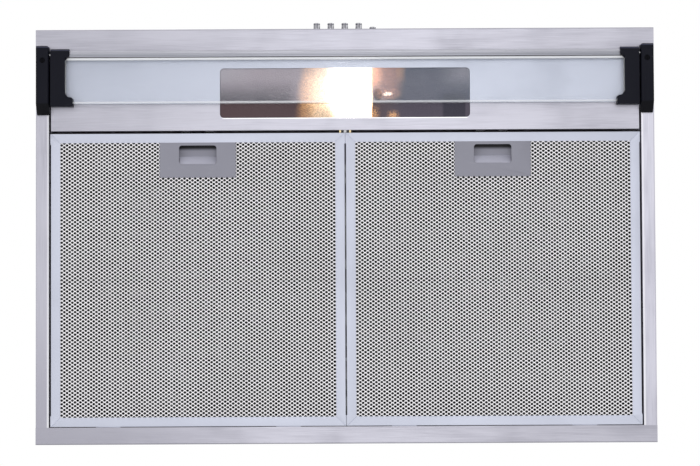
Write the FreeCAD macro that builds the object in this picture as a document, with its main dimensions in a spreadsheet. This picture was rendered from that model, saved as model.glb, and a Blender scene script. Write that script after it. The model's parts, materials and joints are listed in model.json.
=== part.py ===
import FreeCAD, Part
import os
import re
import Sketcher

# Under cabinet range hood, millimetres, +Z up, front towards -Y. The origin is the centre of the
# four cabinet screws on the top face, and the underside rim lies one hood height below it.

SIZES = [
    # shell
    ("hood_width", "758", "side to side"),
    ("hood_depth", "508", "front face to rear face"),
    ("hood_height", "127", "top face to underside rim"),
    ("sheet", "1", "steel sheet"),
    ("bend", "1.6", "outside radius of the folds"),
    ("front_rim", "27", "width of the rim under the front"),
    ("side_rim", "16.2", "width of the rims under the sides"),
    ("rear_rim", "21", "width of the rim under the rear"),
    ("rim_lip", "8", "height of the lip turned up behind the front rim"),
    ("side_hem", "2.4", "width of the doubled inner edge of a side rim"),
    ("hem_height", "7", "height of the doubled inner edge"),
    ("flange", "14", "width of the flanges under the top"),
    ("screw_side", "39", "cabinet screws from the sides"),
    ("screw_end", "54", "cabinet screws from the front and the rear"),
    ("screw_hole", "2.75", "radius of the cabinet screw holes"),
    ("rivet_radius", "3.2", "head of a rivet"),
    ("rivet_height", "1.2", "head of a rivet"),
    # filters
    ("filter_gap", "2.5", "filter to side rim"),
    ("filter_slit", "2", "filter to filter"),
    ("light_zone", "101.2", "front rim to filters"),
    ("filter_rear_gap", "0.8", "filter to rear rim"),
    ("filter_thick", "9", "frame height"),
    ("filter_rail", "11.2", "visible width of the frame"),
    ("filter_sheet", "0.8", "frame channel wall"),
    ("filter_skin", "0.6", "perforated sheet"),
    ("wave_count", "24", "waves of the mesh layer"),
    ("wave_sheet", "0.5", "mesh layer sheet"),
    ("bumper_proud", "0.85", "corner bumpers stand out from the frame side"),
    ("bumper_long", "13", "corner bumper length"),
    ("mitre", "0.4", "width of the mitre line"),
    ("tab_wide", "30", "rear tab"),
    ("tab_long", "10", "rear tab over the rear rim"),
    ("tab_thick", "1.6", "rear tab"),
    ("tab_apart", "220", "rear tab spacing"),
    ("lift", "0.2", "clearance under the tabs"),
    # latches
    ("latch_wide", "93", "latch cover"),
    ("latch_long", "42.8", "latch cover, front to rear"),
    ("latch_cover", "1.2", "latch cover thickness"),
    ("latch_corner", "2", "rear corners of the latch cover"),
    ("latch_wall", "2", "latch case wall"),
    ("latch_brim", "4", "cover wider than the case"),
    ("latch_high", "18", "cover to case top"),
    ("recess_wide", "45.8", "finger recess"),
    ("recess_long", "22.8", "finger recess"),
    ("recess_front", "3.5", "finger recess from the cover front"),
    ("recess_corner", "3.5", "finger recess corner radius"),
    ("ramp_start", "13.4", "finger ramp from the recess front"),
    ("ramp_long", "8.8", "finger ramp slope"),
    ("bolt_apart", "28", "bolts of one latch"),
    ("bolt_wide", "10.5", "bolt"),
    ("bolt_thick", "3", "bolt and slide thickness"),
    ("bolt_lift", "0.5", "bolt over the filter frame"),
    ("bolt_short", "0.5", "bolt nose short of the light panel"),
    ("latch_travel", "5", "pull of the latch"),
    ("slack", "0.4", "clearance around the latch slide"),
    # light panel and lamp
    ("panel_gap", "3.4", "light panel to filters"),
    ("panel_front_gap", "0.5", "light panel to front rim"),
    ("panel_flange", "25", "height of the rear flange"),
    ("panel_side_flange", "12", "height of the other flanges"),
    ("lens_wide", "306", "lens window"),
    ("lens_long", "60.4", "lens window, front to rear"),
    ("lens_front_gap", "21.6", "front rim to lens"),
    ("lens_corner", "5", "lens corner radius"),
    ("lens_proud", "0.8", "lens below the panel"),
    ("lens_bevel", "1", "lens edge bevel"),
    ("lens_brim", "4", "lens flange inside the panel"),
    ("lens_thick", "1.8", "lens flange"),
    ("snug", "0.3", "clearance around fixed inserts"),
    ("lamp_sheet", "0.8", "reflector sheet"),
    ("lamp_brim", "8", "reflector brim"),
    ("lamp_high", "60", "reflector height"),
    ("lamp_slope", "9", "lean of the reflector walls"),
    ("lamp_edge", "5", "reflector wider than the lens"),
    ("bulb_height", "30", "lamp axis above the panel"),
    ("bulb_radius", "24", "lamp glass"),
    ("bulb_centre", "-34", "lamp glass centre, sideways"),
    ("bulb_neck", "13", "lamp neck radius"),
    ("bulb_end", "31", "end of the glass, sideways"),
    ("cap_long", "26", "lamp cap length"),
    ("socket_radius", "19", "lamp socket"),
    ("socket_start", "33", "mouth of the socket, sideways"),
    ("socket_long", "56", "lamp socket"),
    ("socket_bore", "14", "lamp socket bore radius"),
    ("clamp_wall", "2.5", "socket clamp"),
    ("clamp_long", "11", "socket clamp"),
    ("clip_wide", "14.4", "centre clip"),
    ("clip_high", "22", "centre clip"),
    # visor
    ("pivot_behind", "5", "visor pivot behind the front rim edge"),
    ("pivot_drop", "7.5", "visor pivot under the rim"),
    ("visor_open", "150", "opening of the visor, degrees"),
    ("nose_radius", "7.2", "bracket nose about the pivot"),
    ("block_wide", "15.6", "hinge block"),
    ("block_inset", "2.2", "hinge block inside the side face"),
    ("block_front", "5.9", "hinge block ahead of the front rim edge"),
    ("block_long", "84", "hinge block, front to rear"),
    ("block_bevel", "13", "hinge block rear bevel"),
    ("block_toe", "4", "hinge block height at its rear end"),
    ("block_corner", "3", "inner corners of the hinge block"),
    ("block_groove", "2", "hinge block to bracket"),
    ("block_screw_behind", "12", "hinge block screw behind the rim edge"),
    ("screw_head", "3", "hinge block screw head radius"),
    ("bracket_wide", "17.5", "visor bracket"),
    ("bracket_long", "63.5", "visor bracket behind the pivot"),
    ("finger_front", "5", "front finger beyond the bracket"),
    ("finger_rear", "9.4", "rear finger beyond the bracket"),
    ("finger_long", "11", "rear finger, front to rear"),
    ("finger_corner", "2.5", "corners of the rear finger"),
    ("finger_root", "7", "hollow between the arm and the rear finger"),
    ("finger_slope", "1", "slope of the front finger, from behind the pivot"),
    ("pane_thick", "4", "visor glass"),
    ("pane_below", "1.8", "visor glass under the pivot"),
    ("pane_start", "1.5", "visor glass behind the pivot"),
    ("pane_long", "59.6", "visor glass"),
    ("pane_grip", "6", "visor glass inside a bracket"),
    ("spine_long", "7.6", "trim bar, front to rear"),
    ("spine_high", "8", "trim bar"),
    ("spine_ahead", "4.5", "trim bar ahead of the pivot"),
    ("ridge", "0.8", "trim bar groove width"),
    ("ridge_deep", "0.5", "trim bar groove depth"),
    ("pin_radius", "1.5", "visor pin"),
    ("pin_play", "0.05", "visor pin clearance"),
    # controls
    ("button_pitch", "17.4", "button spacing"),
    ("button_radius", "4.15", "button head"),
    ("button_out", "12", "button head out of the front face"),
    ("button_travel", "5", "button travel"),
    ("button_up", "40", "buttons above the rim"),
    ("button_hole_play", "0.3", "clearance around a button head"),
    ("stem_radius", "2.5", "button stem"),
    ("stem_long", "16", "button stem"),
    ("stem_play", "0.05", "button stem clearance"),
    ("bezel_wide", "98", "button surround"),
    ("bezel_high", "20", "button surround"),
    ("bezel_thick", "1.6", "button surround"),
    ("switch_deep", "31", "switch case"),
    # blower and duct
    ("blower_x", "-103", "blower axis, sideways"),
    ("blower_gap", "32", "reflector to the tightest case wall"),
    ("wheel_radius", "94", "wheel"),
    ("wheel_high", "56", "wheel"),
    ("wheel_gap", "9", "wheel to the tightest case wall"),
    ("case_growth", "15", "case growth per quarter"),
    ("case_sheet", "1.2", "case sheet"),
    ("case_high", "76", "case height"),
    ("case_top_gap", "5", "case cover under the hood top"),
    ("mouth_inner", "60", "case outlet from the axis"),
    ("inlet_radius", "74", "case inlet"),
    ("inlet_roll", "6", "roll of the inlet ring"),
    ("blade_count", "36", "wheel blades"),
    ("blade_deep", "15", "wheel blade"),
    ("blade_thick", "0.9", "wheel blade"),
    ("dish_radius", "56", "wheel dish around the motor"),
    ("dish_deep", "48", "wheel dish depth"),
    ("wheel_sheet", "1.2", "wheel sheet"),
    ("motor_radius", "46", "motor can"),
    ("motor_high", "38", "motor can"),
    ("shaft_radius", "4", "motor shaft"),
    ("shaft_play", "0.05", "motor shaft clearance"),
    ("collar_radius", "74.6", "duct collar outside radius"),
    ("collar_wall", "1.2", "duct collar wall"),
    ("collar_high", "38", "duct collar height"),
    ("collar_brim", "14", "duct collar brim"),
    ("plenum_side", "7.2", "outlet box wider than the outlet ring"),
    ("plenum_gap", "5", "outlet box to the rear face"),
    ("flap_height", "14", "flap axis above the top"),
    ("flap_apart", "6", "flap axis spacing"),
    ("flap_edge", "2.4", "flap to collar wall"),
    ("flap_thick", "0.8", "flap sheet"),
    ("flap_rod", "1.5", "flap rod radius"),
    ("flap_play", "0.05", "flap rod clearance"),
    # wiring
    ("wiring_side", "134", "wiring box centre from the right side"),
    ("wiring_wide", "92", "wiring box"),
    ("wiring_long", "92", "wiring box"),
    ("wiring_high", "48", "wiring box"),
    ("gland_radius", "9", "cable gland"),
    ("gland_bore", "5", "cable gland bore"),
    ("gland_out", "8", "cable gland above the top"),
    ("gland_long", "22", "cable gland"),
    ("gland_behind", "22.4", "cable gland behind the wiring box centre"),
    ("capacitor_x", "205", "capacitor, sideways"),
    ("capacitor_y", "10", "capacitor, front to rear"),
    ("capacitor_radius", "17", "capacitor"),
    ("capacitor_long", "62", "capacitor"),
    ("strap_thick", "1.5", "capacitor strap"),
    ("strap_wide", "16", "capacitor strap"),
    # places worked out from the sizes above
    ("half_width", "=hood_width / 2", ""),
    ("half_depth", "=hood_depth / 2", ""),
    ("screw_across", "=half_width - screw_side", ""),
    ("screw_behind", "=half_depth - screw_end", ""),
    ("rim_bottom", "=-hood_height", ""),
    ("rim_top", "=sheet - hood_height", ""),
    ("flange_top", "=-sheet", ""),
    ("flange_bottom", "=-2 * sheet", ""),
    ("front_edge", "=front_rim - half_depth", "rear edge of the front rim"),
    ("rear_edge", "=half_depth - rear_rim", "front edge of the rear rim"),
    ("side_edge", "=half_width - side_rim", "inner edge of a side rim"),
    ("filter_outer", "=side_edge - filter_gap", ""),
    ("filter_wide", "=filter_outer - filter_slit / 2", ""),
    ("wave_pitch", "=(filter_wide - 2 * filter_sheet) / wave_count", ""),
    ("filter_centre", "=filter_slit / 2 + filter_wide / 2", ""),
    ("filter_rear", "=rear_edge - filter_rear_gap", ""),
    ("filter_front", "=front_edge + light_zone", ""),
    ("filter_top", "=rim_top + filter_thick", ""),
    ("skin_bottom", "=rim_top + filter_sheet", ""),
    ("skin_top", "=filter_top - filter_sheet", ""),
    ("latch_front", "=filter_front + filter_rail", ""),
    ("latch_rear", "=latch_front + latch_long", ""),
    ("latch_bottom", "=skin_bottom - latch_cover", ""),
    ("latch_inside", "=skin_bottom", ""),
    ("latch_top", "=latch_bottom + latch_high", ""),
    ("latch_half", "=latch_wide / 2 - latch_brim", ""),
    ("recess_start", "=latch_front + recess_front", ""),
    ("recess_end", "=recess_start + recess_long", ""),
    ("bolt_bottom", "=filter_top + bolt_lift", ""),
    ("bolt_top", "=bolt_bottom + bolt_thick", ""),
    ("panel_front", "=front_edge + panel_front_gap", ""),
    ("panel_rear", "=filter_front - panel_gap", ""),
    ("panel_top", "=rim_top + sheet", ""),
    ("lens_front", "=front_edge + lens_front_gap", ""),
    ("lens_rear", "=lens_front + lens_long", ""),
    ("lamp_top", "=panel_top + lamp_high", ""),
    ("lamp_front", "=lens_front - lamp_edge", ""),
    ("lamp_rear", "=lens_rear + lamp_edge", ""),
    ("lamp_half", "=lens_wide / 2 + lamp_edge", ""),
    ("bulb_y", "=lens_front + lens_long / 2", ""),
    ("bulb_z", "=panel_top + bulb_height", ""),
    ("pivot_y", "=front_edge + pivot_behind", ""),
    ("pivot_z", "=rim_bottom - pivot_drop", ""),
    ("block_outer", "=half_width - block_inset", ""),
    ("block_inner", "=block_outer - block_wide", ""),
    ("block_middle", "=block_outer - block_wide / 2", ""),
    ("block_start", "=front_edge - block_front", ""),
    ("block_end", "=block_start + block_long", ""),
    ("block_bottom", "=pivot_z - nose_radius", ""),
    ("bracket_outer", "=block_inner - block_groove", ""),
    ("bracket_inner", "=bracket_outer - bracket_wide", ""),
    ("bracket_end", "=pivot_y + bracket_long", ""),
    ("pane_bottom", "=pivot_z - pane_below", ""),
    ("pane_top", "=pane_bottom + pane_thick", ""),
    ("pane_front", "=pivot_y + pane_start", ""),
    ("pane_rear", "=pane_front + pane_long", ""),
    ("pane_half", "=bracket_inner + pane_grip", ""),
    ("button_z", "=rim_bottom + button_up", ""),
    ("case_top", "=-sheet - case_top_gap", ""),
    ("case_bottom", "=case_top - case_high", ""),
    ("case_radius", "=wheel_radius + wheel_gap", ""),
    ("blower_y", "=lamp_rear + blower_gap + case_radius", "blower axis, front to rear"),
    ("wheel_top", "=case_top - case_sheet - wheel_gap", ""),
    ("wheel_bottom", "=wheel_top - wheel_high", ""),
    ("collar_inner", "=collar_radius - collar_wall", ""),
    ("ring_outer", "=collar_inner + 2 * case_sheet", "outside of the outlet ring"),
    ("collar_y", "=half_depth - flange - slack - ring_outer", "duct collar, front to rear"),
    ("plenum_wide", "=2 * (ring_outer + plenum_side)", "outlet box"),
    ("plenum_front", "=collar_y - ring_outer - case_sheet", "outlet box front wall"),
    ("plenum_rear", "=half_depth - plenum_gap", "outlet box rear wall"),
    ("wiring_x", "=half_width - wiring_side", "wiring box centre, sideways"),
    ("wiring_y", "=half_depth - flange - slack - wiring_long / 2", "wiring box centre, front to rear"),
    ("gland_y", "=wiring_y + gland_behind", "cable gland, front to rear"),
]
NAMES = {name for name, size, note in SIZES}
PLANES = {"x": "YZ_Plane", "y": "XZ_Plane", "z": "XY_Plane"}
SIDES = {"left": -1, "right": 1}
SMALLEST = 0.001

doc = FreeCAD.newDocument("range_hood")
sheet = doc.addObject("Spreadsheet::Sheet", "Sizes")
pieces = []


def fill_sheet():
    """Write every size into the sheet under its own name."""
    for row, (name, size, note) in enumerate(SIZES, start=1):
        sheet.set(f"A{row}", name)
        sheet.set(f"B{row}", size)
        sheet.setAlias(f"B{row}", name)
        sheet.set(f"C{row}", note)
    doc.recompute()


def formula(text):
    """A formula in which every size name points at the sheet."""
    return re.sub(r"[a-z_]+", lambda word: f"Sizes.{word[0]}" if word[0] in NAMES else word[0], str(text))


def amount(text):
    """The present value of a formula."""
    return float(sheet.evalExpression(formula(text)))


# ---- tools for sketches and features

def new_body(label, **places):
    """A body with its own label; places give its Placement as formulas for x, y and z."""
    body = doc.addObject("PartDesign::Body", label)
    body.Label = label
    body.AllowCompound = True
    for letter, place in places.items():
        body.setExpression(f"Placement.Base.{letter}", formula(place))
    pieces.append(body)
    return body


def poly(*corners):
    """A closed outline through corners given as pairs of formulas."""
    return ("poly", corners)


def rect(left, right, low, high):
    """A rectangle from four formulas."""
    return poly((left, low), (right, low), (right, high), (left, high))


def disc(across, up, radius):
    """A circle from three formulas."""
    return ("disc", (across, up, radius))


def bind(sketch, kind, value, *targets):
    """One sketch constraint that follows a formula."""
    number = sketch.addConstraint(Sketcher.Constraint(kind, *targets, amount(value)))
    sketch.setExpression(f"Constraints[{number}]", formula(value))


def draw_poly(sketch, corners):
    """Straight lines joined end to end, each corner held by two formulas."""
    points = [FreeCAD.Vector(amount(across), amount(up), 0) for across, up in corners]
    first = sketch.GeometryCount
    count = len(points)
    for index, point in enumerate(points):
        sketch.addGeometry(Part.LineSegment(point, points[(index + 1) % count]), False)
    for index in range(count):
        following = first + (index + 1) % count
        sketch.addConstraint(Sketcher.Constraint("Coincident", first + index, 2, following, 1))
    for index, (across, up) in enumerate(corners):
        bind(sketch, "DistanceX", across, -1, 1, first + index, 1)
        bind(sketch, "DistanceY", up, -1, 1, first + index, 1)


def draw_disc(sketch, place):
    """A circle held by its centre and radius."""
    across, up, radius = place
    centre = FreeCAD.Vector(amount(across), amount(up), 0)
    number = sketch.addGeometry(Part.Circle(centre, FreeCAD.Vector(0, 0, 1), amount(radius)), False)
    bind(sketch, "DistanceX", across, -1, 1, number, 3)
    bind(sketch, "DistanceY", up, -1, 1, number, 3)
    bind(sketch, "Radius", radius, number)


def new_sketch(body, axis, place, outlines):
    """A sketch square to one axis of the body, at a place along that axis."""
    plane = next(item for item in body.Origin.OriginFeatures if item.Role == PLANES[axis])
    sketch = body.newObject("Sketcher::SketchObject", f"{body.Label}_sketch")
    sketch.AttachmentSupport = [(plane, "")]
    sketch.MapMode = "FlatFace"
    sign = "-" if axis == "y" else ""
    sketch.setExpression("AttachmentOffset.Base.z", f"{sign}({formula(place)})")
    for kind, data in outlines:
        if kind == "poly":
            draw_poly(sketch, data)
        else:
            draw_disc(sketch, data)
    return sketch


def volume(body):
    """Volume of a body as it stands."""
    return 0.0 if body.Tip is None else body.Tip.Shape.Volume


def add(body, axis, low, high, *outlines):
    """Material between two places on an axis."""
    before = volume(body)
    sketch = new_sketch(body, axis, high if axis == "y" else low, outlines)
    pad = body.newObject("PartDesign::Pad", f"{body.Label}_pad")
    pad.Profile = sketch
    pad.setExpression("Length", f"({formula(high)}) - ({formula(low)})")
    sketch.Visibility = False
    doc.recompute()
    if volume(body) - before < SMALLEST:
        raise ValueError(f"{body.Label}: a pad added nothing")
    return pad


def cut(body, axis, low, high, *outlines):
    """Material taken away between two places on an axis."""
    before = volume(body)
    sketch = new_sketch(body, axis, low if axis == "y" else high, outlines)
    pocket = body.newObject("PartDesign::Pocket", f"{body.Label}_pocket")
    pocket.Profile = sketch
    pocket.setExpression("Length", f"({formula(high)}) - ({formula(low)})")
    sketch.Visibility = False
    doc.recompute()
    if before - volume(body) < SMALLEST:
        raise ValueError(f"{body.Label}: a pocket removed nothing")
    return pocket


def turn(body, across, behind, up, axis, *outlines):
    """A body of revolution about a line along x or z; outlines lie in a plane of x and z."""
    sketch = new_sketch(body, "y", behind, outlines)
    sketch.setExpression("AttachmentOffset.Base.x", formula(across))
    sketch.setExpression("AttachmentOffset.Base.y", formula(up))
    revolution = body.newObject("PartDesign::Revolution", f"{body.Label}_turn")
    revolution.Profile = sketch
    revolution.ReferenceAxis = (sketch, ["V_Axis" if axis == "z" else "H_Axis"])
    revolution.Angle = 360
    sketch.Visibility = False
    doc.recompute()
    return revolution


def round_part(body, across, behind, low, high, radius, quarter=None, remove=False):
    """A full or quarter cylinder standing on Z, added to or taken from a body."""
    kind = "Subtractive" if remove else "Additive"
    piece = body.newObject(f"PartDesign::{kind}Cylinder", f"{body.Label}_round")
    piece.setExpression("Radius", formula(radius))
    piece.setExpression("Height", f"({formula(high)}) - ({formula(low)})")
    piece.setExpression("Placement.Base.x", formula(across))
    piece.setExpression("Placement.Base.y", formula(behind))
    piece.setExpression("Placement.Base.z", formula(low))
    if quarter is not None:
        piece.Angle = 90
        piece.Placement.Rotation = FreeCAD.Rotation(FreeCAD.Vector(0, 0, 1), 90 * quarter)
    doc.recompute()
    return piece


def edges_like(shape, axis, **places):
    """Names of the straight edges along an axis whose middles lie at the given places."""
    letters = "xyz"
    found = []
    for number, edge in enumerate(shape.Edges, start=1):
        if edge.Curve.TypeId != "Part::GeomLine":
            continue
        direction = edge.Curve.Direction
        if abs(abs(direction[letters.index(axis)]) - 1) > SMALLEST:
            continue
        middle = edge.CenterOfMass
        wanted = {letter: [amount(item) for item in items] for letter, items in places.items()}
        if all(
            any(abs(middle[letters.index(letter)] - item) < SMALLEST for item in items)
            for letter, items in wanted.items()
        ):
            found.append(f"Edge{number}")
    return found


def dress(body, kind, size, edges):
    """A fillet or chamfer on named edges of the present tip."""
    if not edges:
        raise ValueError(f"{body.Label}: no edge to dress")
    tip = body.Tip
    feature = body.newObject(f"PartDesign::{kind}", f"{body.Label}_{kind.lower()}")
    feature.Base = (tip, edges)
    feature.setExpression("Radius" if kind == "Fillet" else "Size", formula(size))
    tip.Visibility = False
    doc.recompute()
    return feature


def soften(body, size, axis, **places):
    """Fillet the straight edges along an axis at the given places."""
    return dress(body, "Fillet", size, edges_like(body.Tip.Shape, axis, **places))


def span(side, inner, outer):
    """Low and high along X of a stretch from inner to outer, on the left or the right."""
    if side > 0:
        return inner, outer
    return f"-({outer})", f"-({inner})"


# ---- shell

def top_panel():
    """Flat top with the cabinet screw holes, the duct hole and the cable hole."""
    body = new_body("top_panel")
    add(body, "z", "-sheet", "0", rect("-half_width", "half_width", "-half_depth", "half_depth"))
    cut(body, "z", "-sheet", "0", *[
        disc(f"{across} * screw_across", f"{behind} * screw_behind", "screw_hole")
        for across in (-1, 1) for behind in (-1, 1)
    ])
    cut(body, "z", "-sheet", "0", disc("0", "collar_y", "collar_inner"))
    cut(body, "z", "-sheet", "0", disc("wiring_x", "gland_y", "gland_radius + snug"))


def front_panel():
    """Front face folded into the front rim below and a flange above."""
    body = new_body("front_panel")
    add(body, "x", "-half_width", "half_width", poly(
        ("-half_depth", "rim_bottom"),
        ("front_edge", "rim_bottom"),
        ("front_edge", "rim_bottom + rim_lip"),
        ("front_edge - sheet", "rim_bottom + rim_lip"),
        ("front_edge - sheet", "rim_top"),
        ("-half_depth + sheet", "rim_top"),
        ("-half_depth + sheet", "flange_bottom"),
        ("-half_depth + flange", "flange_bottom"),
        ("-half_depth + flange", "flange_top"),
        ("-half_depth", "flange_top"),
    ))
    for side in SIDES.values():
        low, high = span(side, "half_width - sheet", "half_width")
        cut(body, "x", low, high, rect("-half_depth + sheet", "front_edge", "rim_top", "flange_top"))
    cut(body, "y", "-half_depth", "-half_depth + sheet", *[
        disc(f"{place} * button_pitch", "button_z", "button_radius + button_hole_play")
        for place in range(-2, 3)
    ])
    soften(body, "bend", "x", y=["-half_depth"], z=["rim_bottom"])


def rear_panel():
    """Rear face folded into a plain rim below and a flange above."""
    body = new_body("rear_panel")
    add(body, "x", "-half_width", "half_width", poly(
        ("half_depth", "rim_bottom"),
        ("rear_edge", "rim_bottom"),
        ("rear_edge", "rim_top"),
        ("half_depth - sheet", "rim_top"),
        ("half_depth - sheet", "flange_bottom"),
        ("half_depth - flange", "flange_bottom"),
        ("half_depth - flange", "flange_top"),
        ("half_depth", "flange_top"),
    ))
    for side in SIDES.values():
        low, high = span(side, "half_width - sheet", "half_width")
        cut(body, "x", low, high, rect("half_depth - flange", "half_depth - sheet", "flange_bottom", "flange_top"))
    soften(body, "bend", "x", y=["half_depth"], z=["rim_bottom"])


def side_panel(name, side):
    """Side wall with its rim, the doubled inner edge of the rim, and a flange above."""
    body = new_body(f"{name}_side_panel")
    low, high = span(side, "half_width - sheet", "half_width")
    add(body, "x", low, high, poly(
        ("-half_depth + sheet", "rim_top"),
        ("front_edge", "rim_top"),
        ("front_edge", "rim_bottom"),
        ("rear_edge", "rim_bottom"),
        ("rear_edge", "rim_top"),
        ("half_depth - sheet", "rim_top"),
        ("half_depth - sheet", "flange_top"),
        ("-half_depth + sheet", "flange_top"),
    ))
    low, high = span(side, "side_edge", "half_width - sheet")
    add(body, "z", "rim_bottom", "rim_top", rect(low, high, "front_edge", "rear_edge"))
    low, high = span(side, "side_edge", "side_edge + side_hem")
    add(body, "z", "rim_top", "rim_bottom + hem_height", rect(low, high, "front_edge", "rear_edge"))
    low, high = span(side, "half_width - flange", "half_width - sheet")
    add(body, "z", "flange_bottom", "flange_top", rect(low, high, "flange - half_depth", "half_depth - flange"))
    soften(body, "bend", "y", x=[f"{side} * half_width"], z=["rim_bottom"])
    soften(body, "sheet / 2", "y", x=[f"{side} * side_edge"], z=["rim_bottom"])


def shell_rivets():
    """Rivet heads under the flanges that hold the top panel."""
    body = new_body("shell_rivets")
    places = [(f"{across} * hood_width / 5", f"{behind} * (half_depth - flange / 2)")
              for across in (-2, -1, 1, 2) for behind in (-1, 1)]
    places += [(f"{across} * (half_width - flange / 2)", f"{behind} * hood_depth / 4")
               for across in (-1, 1) for behind in (-1, 0, 1)]
    add(body, "z", "flange_bottom - rivet_height", "flange_bottom",
        *[disc(across, behind, "rivet_radius") for across, behind in places])
    chosen = [f"Edge{number}" for number, edge in enumerate(body.Tip.Shape.Edges, start=1)
              if edge.Curve.TypeId == "Part::GeomCircle"
              and abs(edge.CenterOfMass.z - amount("flange_bottom - rivet_height")) < SMALLEST]
    dress(body, "Fillet", "rivet_height / 2", chosen)


# ---- light panel and lamp

def light_panel():
    """Pan ahead of the filters with the lens window and the slots that the latch bolts enter."""
    body = new_body("light_panel")
    add(body, "z", "rim_top", "panel_top", rect("-filter_outer", "filter_outer", "panel_front", "panel_rear"))
    add(body, "z", "panel_top", "rim_top + panel_flange",
        rect("-filter_outer", "filter_outer", "panel_rear - sheet", "panel_rear"))
    add(body, "z", "panel_top", "rim_top + panel_side_flange",
        rect("-filter_outer", "filter_outer", "panel_front", "panel_front + sheet"))
    for side in SIDES.values():
        low, high = span(side, "filter_outer - sheet", "filter_outer")
        add(body, "z", "panel_top", "rim_top + panel_side_flange",
            rect(low, high, "panel_front + sheet", "panel_rear - sheet"))
    cut(body, "z", "rim_top", "panel_top",
        rect("-lens_wide / 2 - snug", "lens_wide / 2 + snug", "lens_front - snug", "lens_rear + snug"))
    soften(body, "lens_corner", "z", x=["-lens_wide / 2 - snug", "lens_wide / 2 + snug"],
           y=["lens_front - snug", "lens_rear + snug"])
    slots = [f"{side} * filter_centre + {bolt} * bolt_apart / 2" for side in (-1, 1) for bolt in (-1, 1)]
    cut(body, "y", "panel_rear - sheet", "panel_rear", *[
        rect(f"{slot} - bolt_wide / 2 - slack", f"{slot} + bolt_wide / 2 + slack",
             "bolt_bottom - slack", "bolt_top + slack") for slot in slots
    ])
    soften(body, "sheet / 2", "x", y=["panel_rear"], z=["rim_top"])


def lens():
    """Lamp lens: a window through the panel with a flange behind it."""
    body = new_body("lens")
    half = "lens_wide / 2"
    add(body, "z", "rim_top - lens_proud", "panel_top", rect(f"-{half}", half, "lens_front", "lens_rear"))
    soften(body, "lens_corner", "z", x=[f"-{half}", half], y=["lens_front", "lens_rear"])
    bottom = amount("rim_top - lens_proud")
    ring = [f"Edge{number}" for number, edge in enumerate(body.Tip.Shape.Edges, start=1)
            if abs(edge.BoundBox.ZMax - bottom) < SMALLEST]
    dress(body, "Chamfer", "lens_bevel", ring)
    add(body, "z", "panel_top", "panel_top + lens_thick",
        rect(f"-{half} - lens_brim", f"{half} + lens_brim", "lens_front - lens_brim", "lens_rear + lens_brim"))


def lamp_housing():
    """Reflector tray over the lens."""
    body = new_body("lamp_housing")
    add(body, "x", "-lamp_half - lamp_sheet", "lamp_half + lamp_sheet", poly(
        ("lamp_front - lamp_brim", "panel_top"),
        ("lamp_rear + lamp_brim", "panel_top"),
        ("lamp_rear + lamp_brim", "panel_top + lamp_sheet"),
        ("lamp_rear + lamp_sheet", "panel_top + lamp_sheet"),
        ("lamp_rear + lamp_sheet - lamp_slope", "lamp_top"),
        ("lamp_front - lamp_sheet + lamp_slope", "lamp_top"),
        ("lamp_front - lamp_sheet", "panel_top + lamp_sheet"),
        ("lamp_front - lamp_brim", "panel_top + lamp_sheet"),
    ))
    cut(body, "x", "-lamp_half", "lamp_half", poly(
        ("lamp_front", "panel_top"),
        ("lamp_rear", "panel_top"),
        ("lamp_rear - lamp_slope", "lamp_top - lamp_sheet"),
        ("lamp_front + lamp_slope", "lamp_top - lamp_sheet"),
    ))


def lamp_socket():
    """Porcelain socket lying on its side."""
    body = new_body("lamp_socket")
    add(body, "x", "socket_start", "socket_start + socket_long", disc("bulb_y", "bulb_z", "socket_radius"))
    cut(body, "x", "socket_start", "bulb_end + cap_long", disc("bulb_y", "bulb_z", "socket_bore"))


def socket_clamp():
    """Ring around the socket with a tab up to the reflector."""
    body = new_body("socket_clamp")
    start = "socket_start + socket_long - clamp_long"
    end = "socket_start + socket_long"
    add(body, "x", start, end, disc("bulb_y", "bulb_z", "socket_radius + clamp_wall"),
        disc("bulb_y", "bulb_z", "socket_radius"))
    add(body, "x", start, end, rect("bulb_y - clamp_long", "bulb_y + clamp_long",
                                    "bulb_z + socket_radius + clamp_wall / 2", "lamp_top - lamp_sheet"))


def lamp_bulb():
    """Lamp glass: a ball running down to a neck, turned from short straight facets."""
    body = new_body("lamp_bulb", y="bulb_y", z="bulb_z")
    ball = [(f"bulb_centre + bulb_radius * cos({angle})", f"bulb_radius * sin({angle})")
            for angle in range(165, 60, -15)]
    turn(body, "0", "0", "0", "x", poly(
        ("bulb_centre - bulb_radius", "0"), *ball, ("bulb_end", "bulb_neck"), ("bulb_end", "0")))


def lamp_cap():
    """Threaded metal cap of the lamp."""
    body = new_body("lamp_cap")
    add(body, "x", "bulb_end", "bulb_end + cap_long - wheel_sheet", disc("bulb_y", "bulb_z", "bulb_neck"))


def centre_clip():
    """Small hook on the light panel between the two filters."""
    body = new_body("centre_clip")
    half = "clip_wide / 2"
    top = "rim_top + sheet + clip_high"
    add(body, "y", "panel_rear", "panel_rear + sheet", rect(f"-{half}", half, "rim_top + sheet", top))
    add(body, "y", "panel_rear + sheet", "filter_front - slack",
        rect(f"-{half}", half, "rim_top + sheet", "rim_top + 2 * sheet"))


# ---- visor

def hinge_block(name, side):
    """Black block under a side rim that carries the visor pin."""
    body = new_body(f"{name}_hinge_block")
    low, high = span(side, "block_inner", "block_outer")
    add(body, "x", low, high, poly(
        ("block_start", "rim_bottom"),
        ("block_start", "block_bottom"),
        ("block_end - block_bevel", "block_bottom"),
        ("block_end", "rim_bottom - block_toe"),
        ("block_end", "rim_bottom"),
    ))
    soften(body, "block_toe", "x", y=["block_start"], z=["block_bottom"])
    soften(body, "block_corner", "z", x=[f"{side} * block_inner"], y=["block_start", "block_end"])
    cut(body, "z", "block_bottom", "block_bottom + 2 * sheet",
        disc(f"{side} * block_middle", "front_edge + block_screw_behind", "screw_head + slack"))
    low, high = span(side, "block_inner", "block_middle")
    cut(body, "x", low, high, disc("pivot_y", "pivot_z", "pin_radius + pin_play"))


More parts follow.
